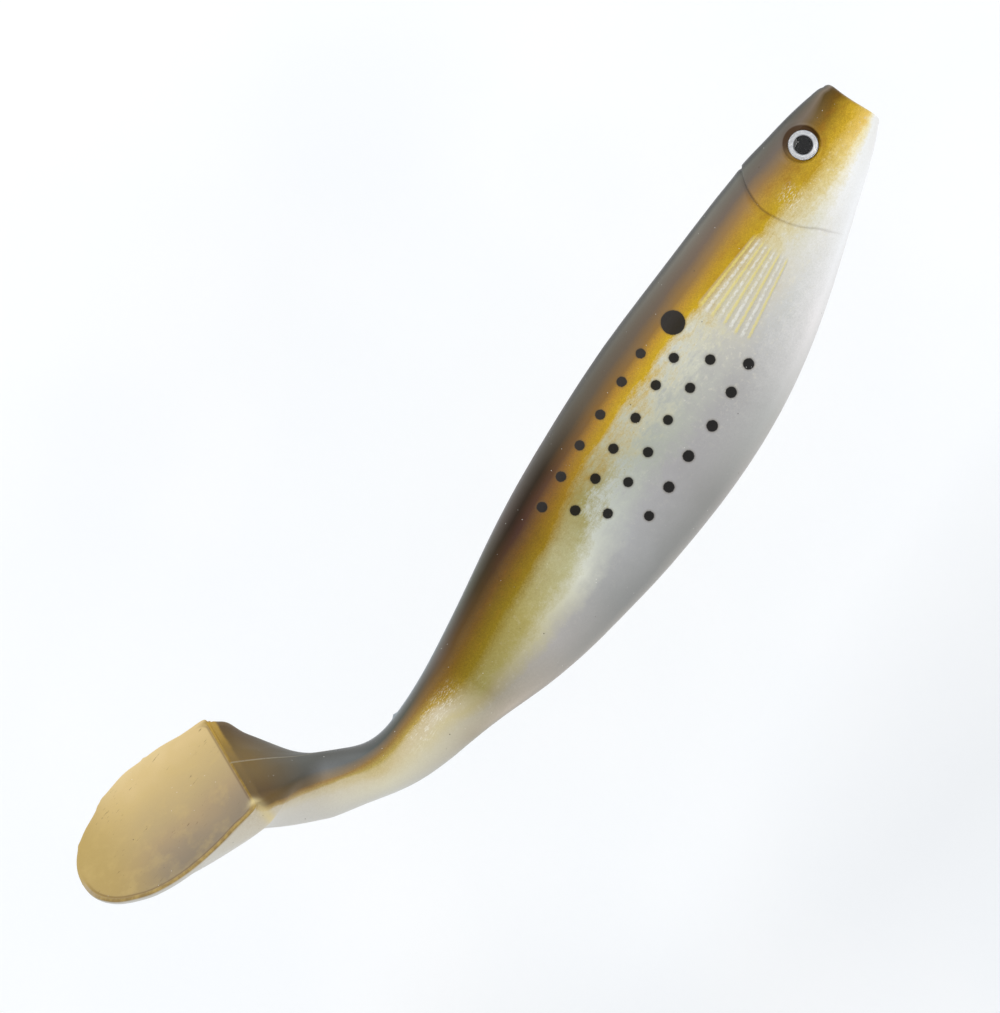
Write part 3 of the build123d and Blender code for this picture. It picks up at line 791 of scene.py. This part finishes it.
def skin_material():
    n = Nodes("soft_plastic_paint")
    rest = n.attr("rest", "Vector")
    sl = n.math("DIVIDE", n.attr("sl"), 9.5)
    band = n.attr("band")
    coarse = n.noise(rest, 0.11, 2.0)
    mid = n.noise(rest, 0.42, 3.0, 0.6)
    fine = n.noise(rest, 1.9, 3.0, 0.65)
    grain = n.noise(rest, 5.2, 1.0, 0.5)
    # paint edges wander: little at the smoke edge, broken where gold fades into pearl
    edge = n.span(band, 1.2, 2.0)
    edge = n.math("MULTIPLY", edge, n.span(band, 2.9, 2.45))
    forward = n.span(n.attr("sl"), 5.6, 3.0, 0.35, 1.0)
    amount = n.math("MULTIPLY", edge, forward)
    w = n.math("SUBTRACT", mid, 0.5)
    w = n.math("MULTIPLY", w, 0.75)
    w = n.math("MULTIPLY_ADD", n.math("SUBTRACT", fine, 0.5), 0.55, w)
    w = n.math("MULTIPLY_ADD", n.math("SUBTRACT", grain, 0.5), 0.35, w)
    slow = n.math("MULTIPLY", n.math("SUBTRACT", coarse, 0.5), 0.14)
    slow = n.math("MULTIPLY", slow, n.span(band, 0.3, 0.9))
    b = n.math("ADD", band, n.math("MULTIPLY", w, n.math("MULTIPLY_ADD", amount, 0.24, 0.06)))
    b = n.math("ADD", b, slow)
    feather = n.noise(n.stretch(rest, (0.42, 1.35, 1.0), (0, 0, 0.5)), 0.95, 5.0, 0.72)
    broad = n.noise(n.stretch(rest, (0.7, 1.0, 1.0)), 0.20, 1.0)
    ragged = n.math("MULTIPLY", n.span(band, 1.45, 1.85), n.span(band, 2.35, 2.05))
    ragged = n.math("MULTIPLY", ragged, n.span(n.attr("sl"), 5.3, 4.5, 0.12, 1.0))
    b = n.math("MULTIPLY_ADD", n.math("MULTIPLY", n.math("SUBTRACT", feather, 0.5), ragged), n.span(n.attr("sl"), 1.7, 2.9, 0.26, 0.62), b)
    b = n.math("MULTIPLY_ADD", n.math("MULTIPLY", n.math("SUBTRACT", broad, 0.5), ragged), n.span(n.attr("sl"), 1.7, 2.9, 0.12, 0.40), b)
    rows = [
        (0.00, chart([(10, (24, 28, 22)), (60, (16, 16, 12)), (120, (48, 50, 46)), (200, (44, 44, 38)), (400, (40, 28, 22)),
                      (480, (68, 48, 36)), (610, (124, 124, 126)), (690, (118, 132, 136)), (760, (160, 170, 176)),
                      (803, (120, 122, 124)), (852, (84, 84, 78)), (868, (98, 88, 68)), (884, (114, 92, 50))])),
        (0.24, chart([(10, (35, 33, 27)), (60, (40, 40, 36)), (120, (47, 48, 45)), (200, (56, 56, 51)), (400, (64, 62, 56)),
                      (480, (79, 75, 70)), (540, (86, 79, 75)), (610, (90, 94, 86)), (690, (112, 114, 112)),
                      (760, (122, 128, 130)), (803, (100, 100, 98)), (852, (90, 90, 84)), (868, (96, 84, 62)),
                      (884, (110, 90, 52))])),
        (0.42, chart([(10, (80, 76, 62)), (60, (88, 84, 76)), (120, (100, 99, 90)), (200, (112, 108, 98)), (400, (88, 84, 74)),
                      (480, (74, 68, 59)), (540, (79, 69, 61)), (610, (82, 82, 70)), (690, (108, 105, 100)),
                      (760, (112, 116, 115)), (803, (96, 97, 95)), (836, (99, 100, 97)), (852, (89, 89, 83)),
                      (868, (93, 81, 60)), (884, (104, 84, 48))])),
        (0.75, chart([(10, (122, 108, 90)), (60, (110, 98, 88)), (120, (106, 96, 86)), (200, (112, 96, 82)),
                      (400, (92, 80, 64)), (480, (42, 30, 12)), (540, (38, 22, 4)), (610, (60, 48, 26)), (690, (96, 82, 68)),
                      (760, (84, 84, 74)), (803, (84, 88, 86)), (836, (116, 118, 118)), (852, (88, 86, 80)),
                      (868, (84, 74, 56)), (884, (88, 68, 38))])),
        (1.00, chart([(10, (84, 64, 22)), (60, (126, 102, 62)), (120, (144, 110, 60)), (200, (140, 106, 48)),
                      (300, (132, 96, 30)), (400, (120, 84, 18)), (480, (76, 42, 2)), (540, (62, 26, 0)), (610, (68, 46, 4)),
                      (690, (94, 66, 22)), (760, (116, 92, 56)), (803, (130, 108, 78)), (836, (150, 130, 100)),
                      (852, (110, 92, 66)), (884, (112, 90, 54))])),
        (1.30, chart([(10, (106, 76, 8)), (60, (150, 114, 34)), (120, (172, 134, 50)), (200, (170, 130, 24)),
                      (300, (176, 132, 16)), (400, (162, 118, 8)), (480, (120, 78, 2)), (540, (106, 72, 0)),
                      (610, (98, 66, 0)), (690, (114, 82, 2)), (735, (128, 94, 28)), (803, (150, 120, 62)),
                      (836, (162, 130, 80)), (852, (142, 112, 64)), (884, (146, 118, 66))])),
        (1.75, chart([(10, (204, 166, 40)), (60, (190, 154, 36)), (120, (188, 156, 32)), (200, (190, 154, 16)),
                      (300, (198, 162, 16)), (400, (186, 150, 16)), (480, (150, 114, 12)), (540, (142, 114, 16)),
                      (610, (134, 112, 16)), (690, (132, 110, 18)), (735, (174, 144, 58)), (803, (178, 158, 86)),
                      (852, (180, 154, 98)), (884, (182, 158, 106))])),
        (2.10, chart([(10, (236, 200, 104)), (60, (224, 202, 128)), (120, (214, 204, 166)), (200, (208, 198, 158)),
                      (300, (202, 202, 186)), (400, (184, 182, 158)), (480, (152, 144, 90)), (540, (182, 178, 136)),
                      (610, (170, 158, 96)), (690, (150, 140, 82)), (735, (206, 194, 166)), (803, (202, 186, 140)),
                      (852, (210, 200, 174)), (884, (208, 200, 182))])),
        (2.22, chart([(10, (248, 232, 176)), (60, (240, 230, 196)), (120, (220, 218, 202)), (200, (206, 200, 184)),
                      (300, (184, 184, 176)), (400, (168, 172, 160)), (480, (190, 194, 184)), (540, (210, 211, 196)),
                      (610, (192, 186, 152)), (690, (154, 142, 100)), (735, (200, 188, 146)), (803, (212, 202, 170)),
                      (852, (212, 206, 192)), (884, (210, 205, 192))])),
        (2.40, chart([(10, (250, 250, 246)), (60, (250, 250, 248)), (120, (234, 232, 226)), (200, (204, 204, 200)),
                      (300, (170, 168, 166)), (400, (166, 164, 164)), (480, (170, 170, 170)), (540, (164, 164, 162)),
                      (610, (174, 170, 166)), (690, (162, 154, 136)), (735, (192, 184, 160)), (803, (218, 212, 186)),
                      (852, (212, 208, 198)), (884, (211, 208, 199))])),
        (2.75, chart([(10, (242, 240, 236)), (60, (250, 250, 250)), (120, (250, 250, 250)), (200, (242, 238, 236)),
                      (300, (190, 190, 186)), (400, (152, 151, 147)), (480, (148, 148, 145)), (540, (148, 148, 145)),
                      (610, (164, 161, 155)), (690, (198, 186, 170)), (735, (182, 172, 152)), (803, (216, 214, 202)),
                      (852, (212, 209, 201)), (884, (212, 210, 202))])),
        (3.00, chart([(10, (250, 250, 250)), (60, (250, 250, 250)), (120, (238, 236, 234)), (200, (222, 219, 216)),
                      (300, (184, 181, 174)), (400, (172, 166, 160)), (480, (168, 164, 156)), (610, (170, 162, 152)),
                      (690, (172, 162, 150)), (735, (174, 168, 152)), (803, (204, 204, 196)), (852, (210, 208, 200)),
                      (884, (210, 208, 202))])),
    ]
    col = n.ramp(sl, rows[0][1])
    for (b0, _), (b1, stops) in zip(rows, rows[1:]):
        col = n.mix(n.span(b, b0, b1, soft=False), col, n.ramp(sl, stops))
    # flake in the gold, pearl dust in the white, soft pepper everywhere
    gold = n.math("MULTIPLY", n.span(b, 0.95, 1.25), n.span(b, 2.15, 1.75))
    flake = n.math("SUBTRACT", grain, 0.5)
    lightf = n.math("MULTIPLY_ADD", flake, n.math("MULTIPLY_ADD", gold, 0.55, 0.16), 1.0)
    lightf = n.math("MULTIPLY_ADD", n.math("SUBTRACT", fine, 0.5), n.math("MULTIPLY_ADD", gold, 0.30, 0.10), lightf)
    shade = n.t.nodes.new("ShaderNodeCombineColor")
    for k in range(3):
        n.put(shade.inputs[k], lightf)
    col = n.mix(1.0, col, shade.outputs[0], "MULTIPLY")
    blot = n.span(n.noise(n.stretch(rest, (0.8, 1.1, 1.0)), 0.36, 3.0, 0.6), 0.48, 0.70)
    blot = n.math("MULTIPLY", blot, n.math("MULTIPLY", n.span(b, 1.05, 1.35), n.span(b, 1.95, 1.6)))
    col = n.mix(n.math("MULTIPLY", blot, n.span(n.attr("sl"), 2.6, 1.2, 0.16, 0.42)), col, lin((150, 100, 20)))
    # pearl mottling below the gold on the head and shoulder
    pearl = n.math("MULTIPLY", n.span(b, 1.7, 2.05), n.span(b, 2.7, 2.3))
    pearl = n.math("MULTIPLY", pearl, n.span(n.attr("sl"), 4.2, 2.2, 0.25, 1.0))
    clots = n.span(n.noise(rest, 0.9, 4.0, 0.7), 0.52, 0.72)
    col = n.mix(n.math("MULTIPLY", n.math("MULTIPLY", pearl, clots), 0.40), col, lin((234, 228, 206)))
    # thin white scuffs at the tail root and on the cheek
    sroot = n.math("MULTIPLY", n.span(n.attr("sl"), 6.95, 7.25), n.span(n.attr("sl"), 7.85, 7.6))
    sroot = n.math("MULTIPLY", sroot, n.math("MULTIPLY", n.span(n.attr("dd"), -0.30, -0.20), n.span(n.attr("dd"), 0.0, -0.07)))
    streak = n.span(n.noise(n.stretch(rest, (0.7, 2.4, 1.2), (0, 0, 0.35)), 1.3, 5.0, 0.75), 0.50, 0.66)
    col = n.mix(n.math("MULTIPLY", n.math("MULTIPLY", sroot, streak), 0.75), col, lin((236, 232, 216)))
    cheek = n.math("MULTIPLY", n.span(n.attr("sl"), 0.98, 1.06), n.span(n.attr("sl"), 1.30, 1.20))
    cheek = n.math("MULTIPLY", cheek, n.math("MULTIPLY", n.span(n.attr("dd"), -0.22, -0.08), n.span(n.attr("dd"), 0.12, 0.02)))
    col = n.mix(n.math("MULTIPLY", n.math("MULTIPLY", cheek, streak), 0.7), col, lin((238, 234, 214)))
    # gill crease: painted shade, a dark line laid in the crease
    cr = n.math("MULTIPLY", n.attr("crease"), n.span(b, 2.35, 1.3, 0.20, 0.75))
    col = n.mix(cr, col, n.mix(n.span(b, 0.9, 1.3), lin((62, 56, 48)), lin((112, 84, 36))))
    # pectoral rays: yellow lines, pearly beads between
    fin = n.attr("fin")
    ray = n.attr("ray")
    ph = n.math("COSINE", n.math("MULTIPLY", ray, 2 * math.pi))
    on = n.span(n.math("ADD", ph, n.math("MULTIPLY", n.math("SUBTRACT", fine, 0.5), 0.9)), 0.62, 0.98)
    off = n.span(n.math("ADD", ph, n.math("MULTIPLY", n.math("SUBTRACT", fine, 0.5), 1.2)), -0.55, -0.95)
    beads = n.span(n.voronoi(n.stretch(rest, (1.0, 1.0, 1.0)), 1.25), 0.30, 0.62)
    col = n.mix(n.math("MULTIPLY", fin, n.math("MULTIPLY", n.math("SUBTRACT", 1.0, on), 0.34)), col, lin((190, 186, 170)))
    col = n.mix(n.math("MULTIPLY", fin, n.math("MULTIPLY", off, n.math("MULTIPLY_ADD", beads, 0.46, 0.20))), col, lin((228, 227, 220)))
    col = n.mix(n.math("MULTIPLY", fin, n.math("MULTIPLY", on, 0.74)), col, lin((220, 207, 130)))
    # eye socket: some dark paint pooled in it, and painted shade heaviest on the dorsal, nose-ward side where the wall
    # is turned from the light
    sock = n.attr("socket")
    brow = n.span(n.attr("brow"), -0.40, 0.40)
    col = n.mix(n.math("MULTIPLY", n.span(sock, 20.2, 18.4, 0.0, 0.92), n.math("MULTIPLY_ADD", brow, 0.92, 0.08)), col, lin((62, 38, 9)))
    # printed spots
    sp = n.math("ADD", n.attr("spot"), n.math("MULTIPLY", n.math("SUBTRACT", fine, 0.5), 1.3))
    spotm = n.span(sp, 0.55, -0.55)
    halo = n.span(sp, 2.6, 0.0, 0.0, 0.30)
    col = n.mix(halo, col, lin((92, 74, 44)))
    ink = n.mix(n.attr("tone"), lin((3, 2, 1)), lin((14, 13, 14)))
    ink = n.mix(n.math("MULTIPLY", n.span(grain, 0.40, 0.80, 0.0, 0.25), n.math("SUBTRACT", 1.0, n.attr("tone"))), ink, lin((44, 38, 30)))
    col = n.mix(n.math("MULTIPLY", spotm, 0.97), col, ink)
    # paddle: tan face greying to the near side, gold lip
    pxn = n.math("ADD", n.attr("px"), n.math("MULTIPLY", n.math("SUBTRACT", coarse, 0.5), 0.30))
    pxn = n.math("ADD", pxn, n.math("MULTIPLY", n.math("SUBTRACT", n.attr("pc"), 0.5), -0.10))
    tan = n.ramp(n.span(pxn, -1.0, 1.0, soft=False), [(0.0, (220, 196, 144)), (0.12, (212, 186, 132)), (0.25, (199, 174, 120)),
                                                     (0.5, (180, 158, 114)), (0.65, (168, 146, 111)), (0.78, (150, 133, 108)),
                                                     (0.9, (138, 124, 104)), (1.0, (142, 126, 98))])
    tan = n.mix(n.span(n.attr("pc"), 0.50, 0.90, 0.0, 0.80), tan, lin((178, 152, 88)))
    tan = n.mix(n.span(n.noise(rest, 0.22, 3.0, 0.6), 0.45, 0.75, 0.0, 0.25), tan, lin((206, 180, 116)))
    pep = n.span(n.noise(rest, 3.4, 2.0, 0.6), 0.60, 0.78, 0.0, 0.22)
    tan = n.mix(pep, tan, lin((150, 124, 78)))
    col = n.mix(n.attr("face"), col, tan)
    lipc = n.mix(n.span(n.noise(rest, 0.8, 3.0, 0.6), 0.35, 0.7), lin((136, 106, 30)), lin((166, 136, 56)))
    col = n.mix(n.math("MULTIPLY", n.attr("lip"), 0.90), col, lipc)
    # painted shadow just inside the raised lip
    col = n.mix(n.math("MULTIPLY", n.attr("lip_shadow"), 0.65), col, lin((104, 78, 44)))
    farc = n.span(pxn, 0.35, -0.75)
    brimc = n.mix(farc, lin((120, 97, 54)), lin((186, 150, 62)))
    brimn = n.span(n.math("MULTIPLY_ADD", n.math("SUBTRACT", mid, 0.5), 0.5, n.attr("brim")), 0.25, 0.85)
    col = n.mix(n.math("MULTIPLY", n.math("MULTIPLY", brimn, n.math("SUBTRACT", 1.0, n.attr("face"))), n.math("MULTIPLY_ADD", farc, 0.34, 0.44)), col, brimc)
    col = n.mix(n.math("MULTIPLY", n.attr("knob"), 0.75), col, lin((222, 204, 150)))
    # the pale mould line over the neck
    seam = n.math("MULTIPLY", n.span(band, 0.024, 0.006), n.math("MULTIPLY", n.span(n.attr("sl"), 8.15, 8.45), n.span(fine, 0.28, 0.5, 0.45, 1.0)))
    seam = n.math("MULTIPLY", seam, n.math("SUBTRACT", 1.0, n.attr("face")))
    col = n.mix(n.math("MULTIPLY", seam, 0.42), col, lin((172, 164, 142)))
    # scratches on the paddle face and short cut marks
    scr = n.span(n.noise(n.stretch(rest, (0.55, 4.0, 4.0), (0, 0, 0.95)), 0.62, 2.0, 0.6), 0.655, 0.72)
    scr = n.math("MULTIPLY", scr, n.math("MULTIPLY", n.attr("face"), n.span(n.noise(rest, 0.16, 0.0), 0.50, 0.62)))
    col = n.mix(n.math("MULTIPLY", scr, 0.55), col, lin((96, 78, 48)))
    # scattered dark specks and bright dust
    speck = n.span(n.voronoi(rest, 0.32), 0.055, 0.035)
    speck = n.math("MULTIPLY", speck, n.span(n.noise(rest, 0.2, 0.0), 0.5, 0.6))
    col = n.mix(n.math("MULTIPLY", speck, 0.75), col, lin((60, 50, 34)))
    dust = n.span(n.voronoi(n.stretch(rest, (1, 1, 1), (0.4, 0.9, 0.2)), 0.55), 0.060, 0.035)
    dust = n.math("MULTIPLY", dust, n.span(n.noise(rest, 0.27, 0.0), 0.47, 0.6))
    col = n.mix(n.math("MULTIPLY", dust, 0.7), col, lin((246, 244, 236)))
    n.put(n.bsdf.inputs["Base Color"], col)
    rough = n.math("MULTIPLY_ADD", n.math("SUBTRACT", fine, 0.5), 0.18, 0.40)
    rough = n.math("MULTIPLY_ADD", spotm, 0.08, rough)
    rough = n.math("MULTIPLY_ADD", n.math("SUBTRACT", coarse, 0.5), 0.12, rough)
    n.put(n.bsdf.inputs["Roughness"], rough)
    n.bsdf.inputs["Metallic"].default_value = 0.0
    n.bsdf.inputs["Specular IOR Level"].default_value = 0.15
    n.bsdf.inputs["Coat Weight"].default_value = 0.04
    n.bsdf.inputs["Coat Roughness"].default_value = 0.22
    hgt = n.math("MULTIPLY_ADD", grain, 0.35, n.math("MULTIPLY", fine, 0.8))
    hgt = n.math("MULTIPLY_ADD", spotm, 0.35, hgt)
    beadh = n.math("MULTIPLY", n.math("MULTIPLY", fin, beads), 1.4)
    hgt = n.math("ADD", hgt, beadh)
    norm = n.bump(hgt, 0.000055, 0.55)
    n.put(n.bsdf.inputs["Normal"], norm)
    return n.mat


skin_mat = skin_material()
for o in SKINS:
    o.data.materials.append(skin_mat)


# ---- eyes -----------------------------------------------------------------------------------------
def lathe(name, profile, origin, axis, seg=128, radial=None):
    """Surface of revolution round axis from origin; profile is (radius, height) in metres, with an optional per-angle wobble."""
    axis = unit(np.asarray(axis, float))
    ux = unit(np.cross(axis, (0.0, 1.0, 0.0)))
    uy = np.cross(axis, ux)
    verts, rad, faces = [], [], []
    for k, (r, h) in enumerate(profile):
        for i in range(seg):
            a = 2 * math.pi * i / seg
            rr = r * (1 + (radial(a, k) if radial else 0.0))
            verts.append(origin + axis * h + (ux * math.cos(a) + uy * math.sin(a)) * rr)
            rad.append(r)
    for k in range(len(profile) - 1):
        for i in range(seg):
            j = (i + 1) % seg
            faces.append((k * seg + i, k * seg + j, (k + 1) * seg + j, (k + 1) * seg + i))
    for k, rev in ((0, True), (len(profile) - 1, False)):
        c = len(verts)
        verts.append(origin + axis * profile[k][1])
        rad.append(0.0)
        for i in range(seg):
            j = (i + 1) % seg
            faces.append((k * seg + j, k * seg + i, c) if rev else (k * seg + i, k * seg + j, c))
    me = bpy.data.meshes.new(name)
    me.from_pydata([tuple(v) for v in verts], [], faces)
    me.polygons.foreach_set("use_smooth", np.ones(len(faces), bool))
    at = me.attributes.new("radius", "FLOAT", "POINT")
    at.data.foreach_set("value", (np.array(rad) * 1000).astype(np.float32))
    loc = np.array(verts) - origin
    at = me.attributes.new("eye", "FLOAT_VECTOR", "POINT")
    at.data.foreach_set("vector", np.stack([loc @ ux, loc @ uy, loc @ axis], -1).astype(np.float32).reshape(-1) * 1000)
    me.update()
    obj = bpy.data.objects.new(name, me)
    bpy.context.scene.collection.objects.link(obj)
    return obj


def foil_material():
    n = Nodes("silver_foil_print")
    r = n.attr("radius")
    loc = n.attr("eye", "Vector")
    f1 = n.noise(loc, 1.6, 3.0, 0.6)
    f2 = n.noise(loc, 7.0, 2.0, 0.6)
    rr = n.math("ADD", r, n.math("MULTIPLY", n.math("SUBTRACT", f2, 0.5), 0.05))
    silver = n.mix(n.span(f1, 0.35, 0.7), lin((252, 253, 254)), lin((232, 234, 238)))
    silver = n.mix(n.span(f2, 0.62, 0.75, 0.0, 0.5), silver, lin((168, 170, 174)))
    outer = n.span(rr, 3.30, 3.40)
    inner = n.span(rr, 2.38, 2.26)
    col = n.mix(outer, silver, lin((140, 141, 144)))
    col = n.mix(inner, col, lin((190, 192, 196)))
    pupil = n.span(rr, 2.17, 2.10)
    ink = n.mix(n.span(f1, 0.4, 0.7), lin((4, 3, 4)), lin((12, 11, 12)))
    col = n.mix(pupil, col, ink)
    n.put(n.bsdf.inputs["Base Color"], col)
    n.put(n.bsdf.inputs["Metallic"], n.math("MULTIPLY", n.math("SUBTRACT", 1.0, pupil), 0.15))
    n.bsdf.inputs["Specular IOR Level"].default_value = 0.10
    n.put(n.bsdf.inputs["Roughness"], n.math("MULTIPLY_ADD", pupil, 0.12, n.math("MULTIPLY_ADD", f2, 0.15, 0.25)))
    n.put(n.bsdf.inputs["Normal"], n.bump(n.math("ADD", f2, n.math("MULTIPLY", pupil, -0.6)), 0.00003, 0.5))
    return n.mat


def resin_material():
    n = Nodes("clear_eye_resin")
    loc = n.attr("eye", "Vector")
    f1 = n.noise(loc, 0.8, 2.0)
    n.bsdf.inputs["Base Color"].default_value = (1, 1, 1, 1)
    n.bsdf.inputs["Transmission Weight"].default_value = 1.0
    n.bsdf.inputs["IOR"].default_value = 1.30
    n.put(n.bsdf.inputs["Roughness"], n.math("MULTIPLY", n.span(f1, 0.4, 0.8), 0.035))
    return n.mat


def glue_material():
    n = Nodes("eye_adhesive_pad")
    loc = n.attr("eye", "Vector")
    f1 = n.noise(loc, 1.3, 3.0, 0.6)
    n.put(n.bsdf.inputs["Base Color"], n.mix(n.span(f1, 0.35, 0.7), lin((196, 188, 168)), lin((222, 216, 200))))
    n.put(n.bsdf.inputs["Roughness"], n.math("MULTIPLY_ADD", f1, 0.2, 0.35))
    n.put(n.bsdf.inputs["Normal"], n.bump(f1, 0.00004, 0.6))
    return n.mat


foil_mat, resin_mat, glue_mat = foil_material(), resin_material(), glue_material()
for side, sign in (("right", 1), ("left", -1)):
    axis = EYE_AXIS * np.array((1, 1, sign))
    origin = place((EYE_AT[0], EYE_AT[1], sign * EYE_SEAT))
    mm = 1e-3
    glue = lathe(side + "_eye_adhesive_pad", [(2.95 * mm, 0.0), (3.08 * mm, 0.03 * mm), (3.14 * mm, 0.10 * mm), (3.12 * mm, 0.18 * mm),
                                              (3.02 * mm, 0.24 * mm)], origin, axis, 96,
                 lambda a, k: 0.012 * math.sin(3 * a + 1) + 0.008 * math.sin(7 * a))
    foil = lathe(side + "_eye_foil_ring", [(3.30 * mm, 0.25 * mm), (3.40 * mm, 0.26 * mm), (3.45 * mm, 0.30 * mm), (3.45 * mm, 0.37 * mm),
                                           (3.41 * mm, 0.405 * mm), (3.30 * mm, 0.415 * mm), (3.10 * mm, 0.41 * mm), (2.80 * mm, 0.405 * mm),
                                           (2.50 * mm, 0.40 * mm), (2.24 * mm, 0.398 * mm), (2.16 * mm, 0.388 * mm), (2.10 * mm, 0.38 * mm),
                                           (1.60 * mm, 0.38 * mm), (0.80 * mm, 0.38 * mm)], origin, axis)
    ball = (3.45 ** 2 + 1.25 ** 2) / (2 * 1.25)
    cap = []
    for k in range(22):
        a = math.asin(3.36 / ball) * (1 - k / 21.0)
        cap.append((max(ball * math.sin(a), 0.02) * mm, (0.42 + 1.16 - (ball - ball * math.cos(a)) + 0.0) * mm))
    edge = [(3.30 * mm, 0.425 * mm), (3.40 * mm, 0.430 * mm), (3.43 * mm, 0.455 * mm)]
    dome = lathe(side + "_eye_resin_dome", edge + cap, origin, axis)
    for piece, mat, node, slot in ((glue, glue_mat, side + "_eye_adhesive", "eye_adhesive"), (foil, foil_mat, side + "_eye_foil", "eye_foil"),
                                   (dome, resin_mat, side + "_eye_dome", "eye_resin")):
        piece.data.materials.append(mat)
        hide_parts(node)
        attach(piece, "fore")


# ---- skin in place of the CAD bodies: the forward skin rides the fore body, the other pieces are baked where they lie ---
def grid_point(*g):
    return tuple(float(v) for v in place(g))


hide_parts("fore_body")
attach(head_skin, "fore")
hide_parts("rear_body")
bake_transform(belly_skin)
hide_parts("tail_wrist")
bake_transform(root_skin)
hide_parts("tail_stem")
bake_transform(stem_skin)
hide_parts("tail_paddle")
grid_point(*paddle_point(0, 5 / 0.225, -6))
grid_point(*paddle_point(0, 21 / 0.225, -6))
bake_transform(paddle_skin)


# ---- floor, light, camera -------------------------------------------------------------------------
# the floor lies low enough for the tail to swing to its limits on either side above it
FLOOR_Z = -0.105


def floor():
    n = 40
    size = 16.0
    verts, faces = [], []
    for j in range(n + 1):
        for i in range(n + 1):
            verts.append(((i / n - 0.5) * size, (j / n - 0.5) * size, FLOOR_Z))
    for j in range(n):
        for i in range(n):
            a = j * (n + 1) + i
            faces.append((a, a + 1, a + n + 2, a + n + 1))
    me = bpy.data.meshes.new("studio_floor")
    me.from_pydata(verts, [], faces)
    obj = bpy.data.objects.new("studio_floor", me)
    bpy.context.scene.collection.objects.link(obj)
    nn = Nodes("pale_tabletop")
    co = nn.t.nodes.new("ShaderNodeTexCoord").outputs["Object"]
    f = nn.noise(co, 14.0, 2.0)
    nn.put(nn.bsdf.inputs["Base Color"], nn.mix(nn.span(f, 0.3, 0.7), lin((252, 253, 254)), lin((249, 251, 253))))
    nn.bsdf.inputs["Roughness"].default_value = 0.55
    nn.bsdf.inputs["Specular IOR Level"].default_value = 0.2
    me.materials.append(nn.mat)
    return obj


floor()
E_R, E_U = np.array((0.5807, -0.8141, 0.0)), np.array((0.8141, 0.5807, 0.0))
target = np.array((0.00245, 0.00255, 0.012354))


def look_at(obj, at):
    from mathutils import Vector
    d = Vector(at) - obj.location
    obj.rotation_euler = d.to_track_quat("-Z", "Y").to_euler()


def softbox(name, right, up, height, size, power, colour=(1, 1, 1), aim=None):
    li = bpy.data.lights.new(name, "AREA")
    li.shape = "RECTANGLE"
    li.size, li.size_y = size
    li.energy = power
    li.color = colour
    ob = bpy.data.objects.new(name, li)
    bpy.context.scene.collection.objects.link(ob)
    ob.location = tuple(target + E_R * right + E_U * up + np.array((0, 0, height)))
    look_at(ob, target if aim is None else aim)
    return ob


softbox("key_softbox", -0.62, 0.50, 0.72, (0.60, 0.50), 4.3, (1.0, 0.995, 0.985))
softbox("fill_softbox", 0.80, -0.20, 0.60, (0.7, 0.6), 1.9, (0.98, 0.99, 1.0))
world = bpy.data.worlds.new("studio")
bpy.context.scene.world = world
world.use_nodes = True
bg = world.node_tree.nodes["Background"]
bg.inputs[0].default_value = (0.965, 0.98, 1.0, 1.0)
bg.inputs[1].default_value = 0.75

cam = bpy.data.cameras.new("camera")
cam.sensor_fit = "VERTICAL"
cam.sensor_height = 36.0
cam.sensor_width = 36.0
cam.lens = 36.0 * 4.5 / 0.2279
cam.clip_start, cam.clip_end = 0.01, 20.0
camera = bpy.data.objects.new("camera", cam)
bpy.context.scene.collection.objects.link(camera)
from mathutils import Matrix
camera.matrix_world = Matrix(((E_R[0], E_U[0], 0, target[0]), (E_R[1], E_U[1], 0, target[1]), (0, 0, 1, target[2] + 4.5), (0, 0, 0, 1)))
bpy.context.scene.camera = camera
bpy.context.scene.view_settings.view_transform = "Standard"
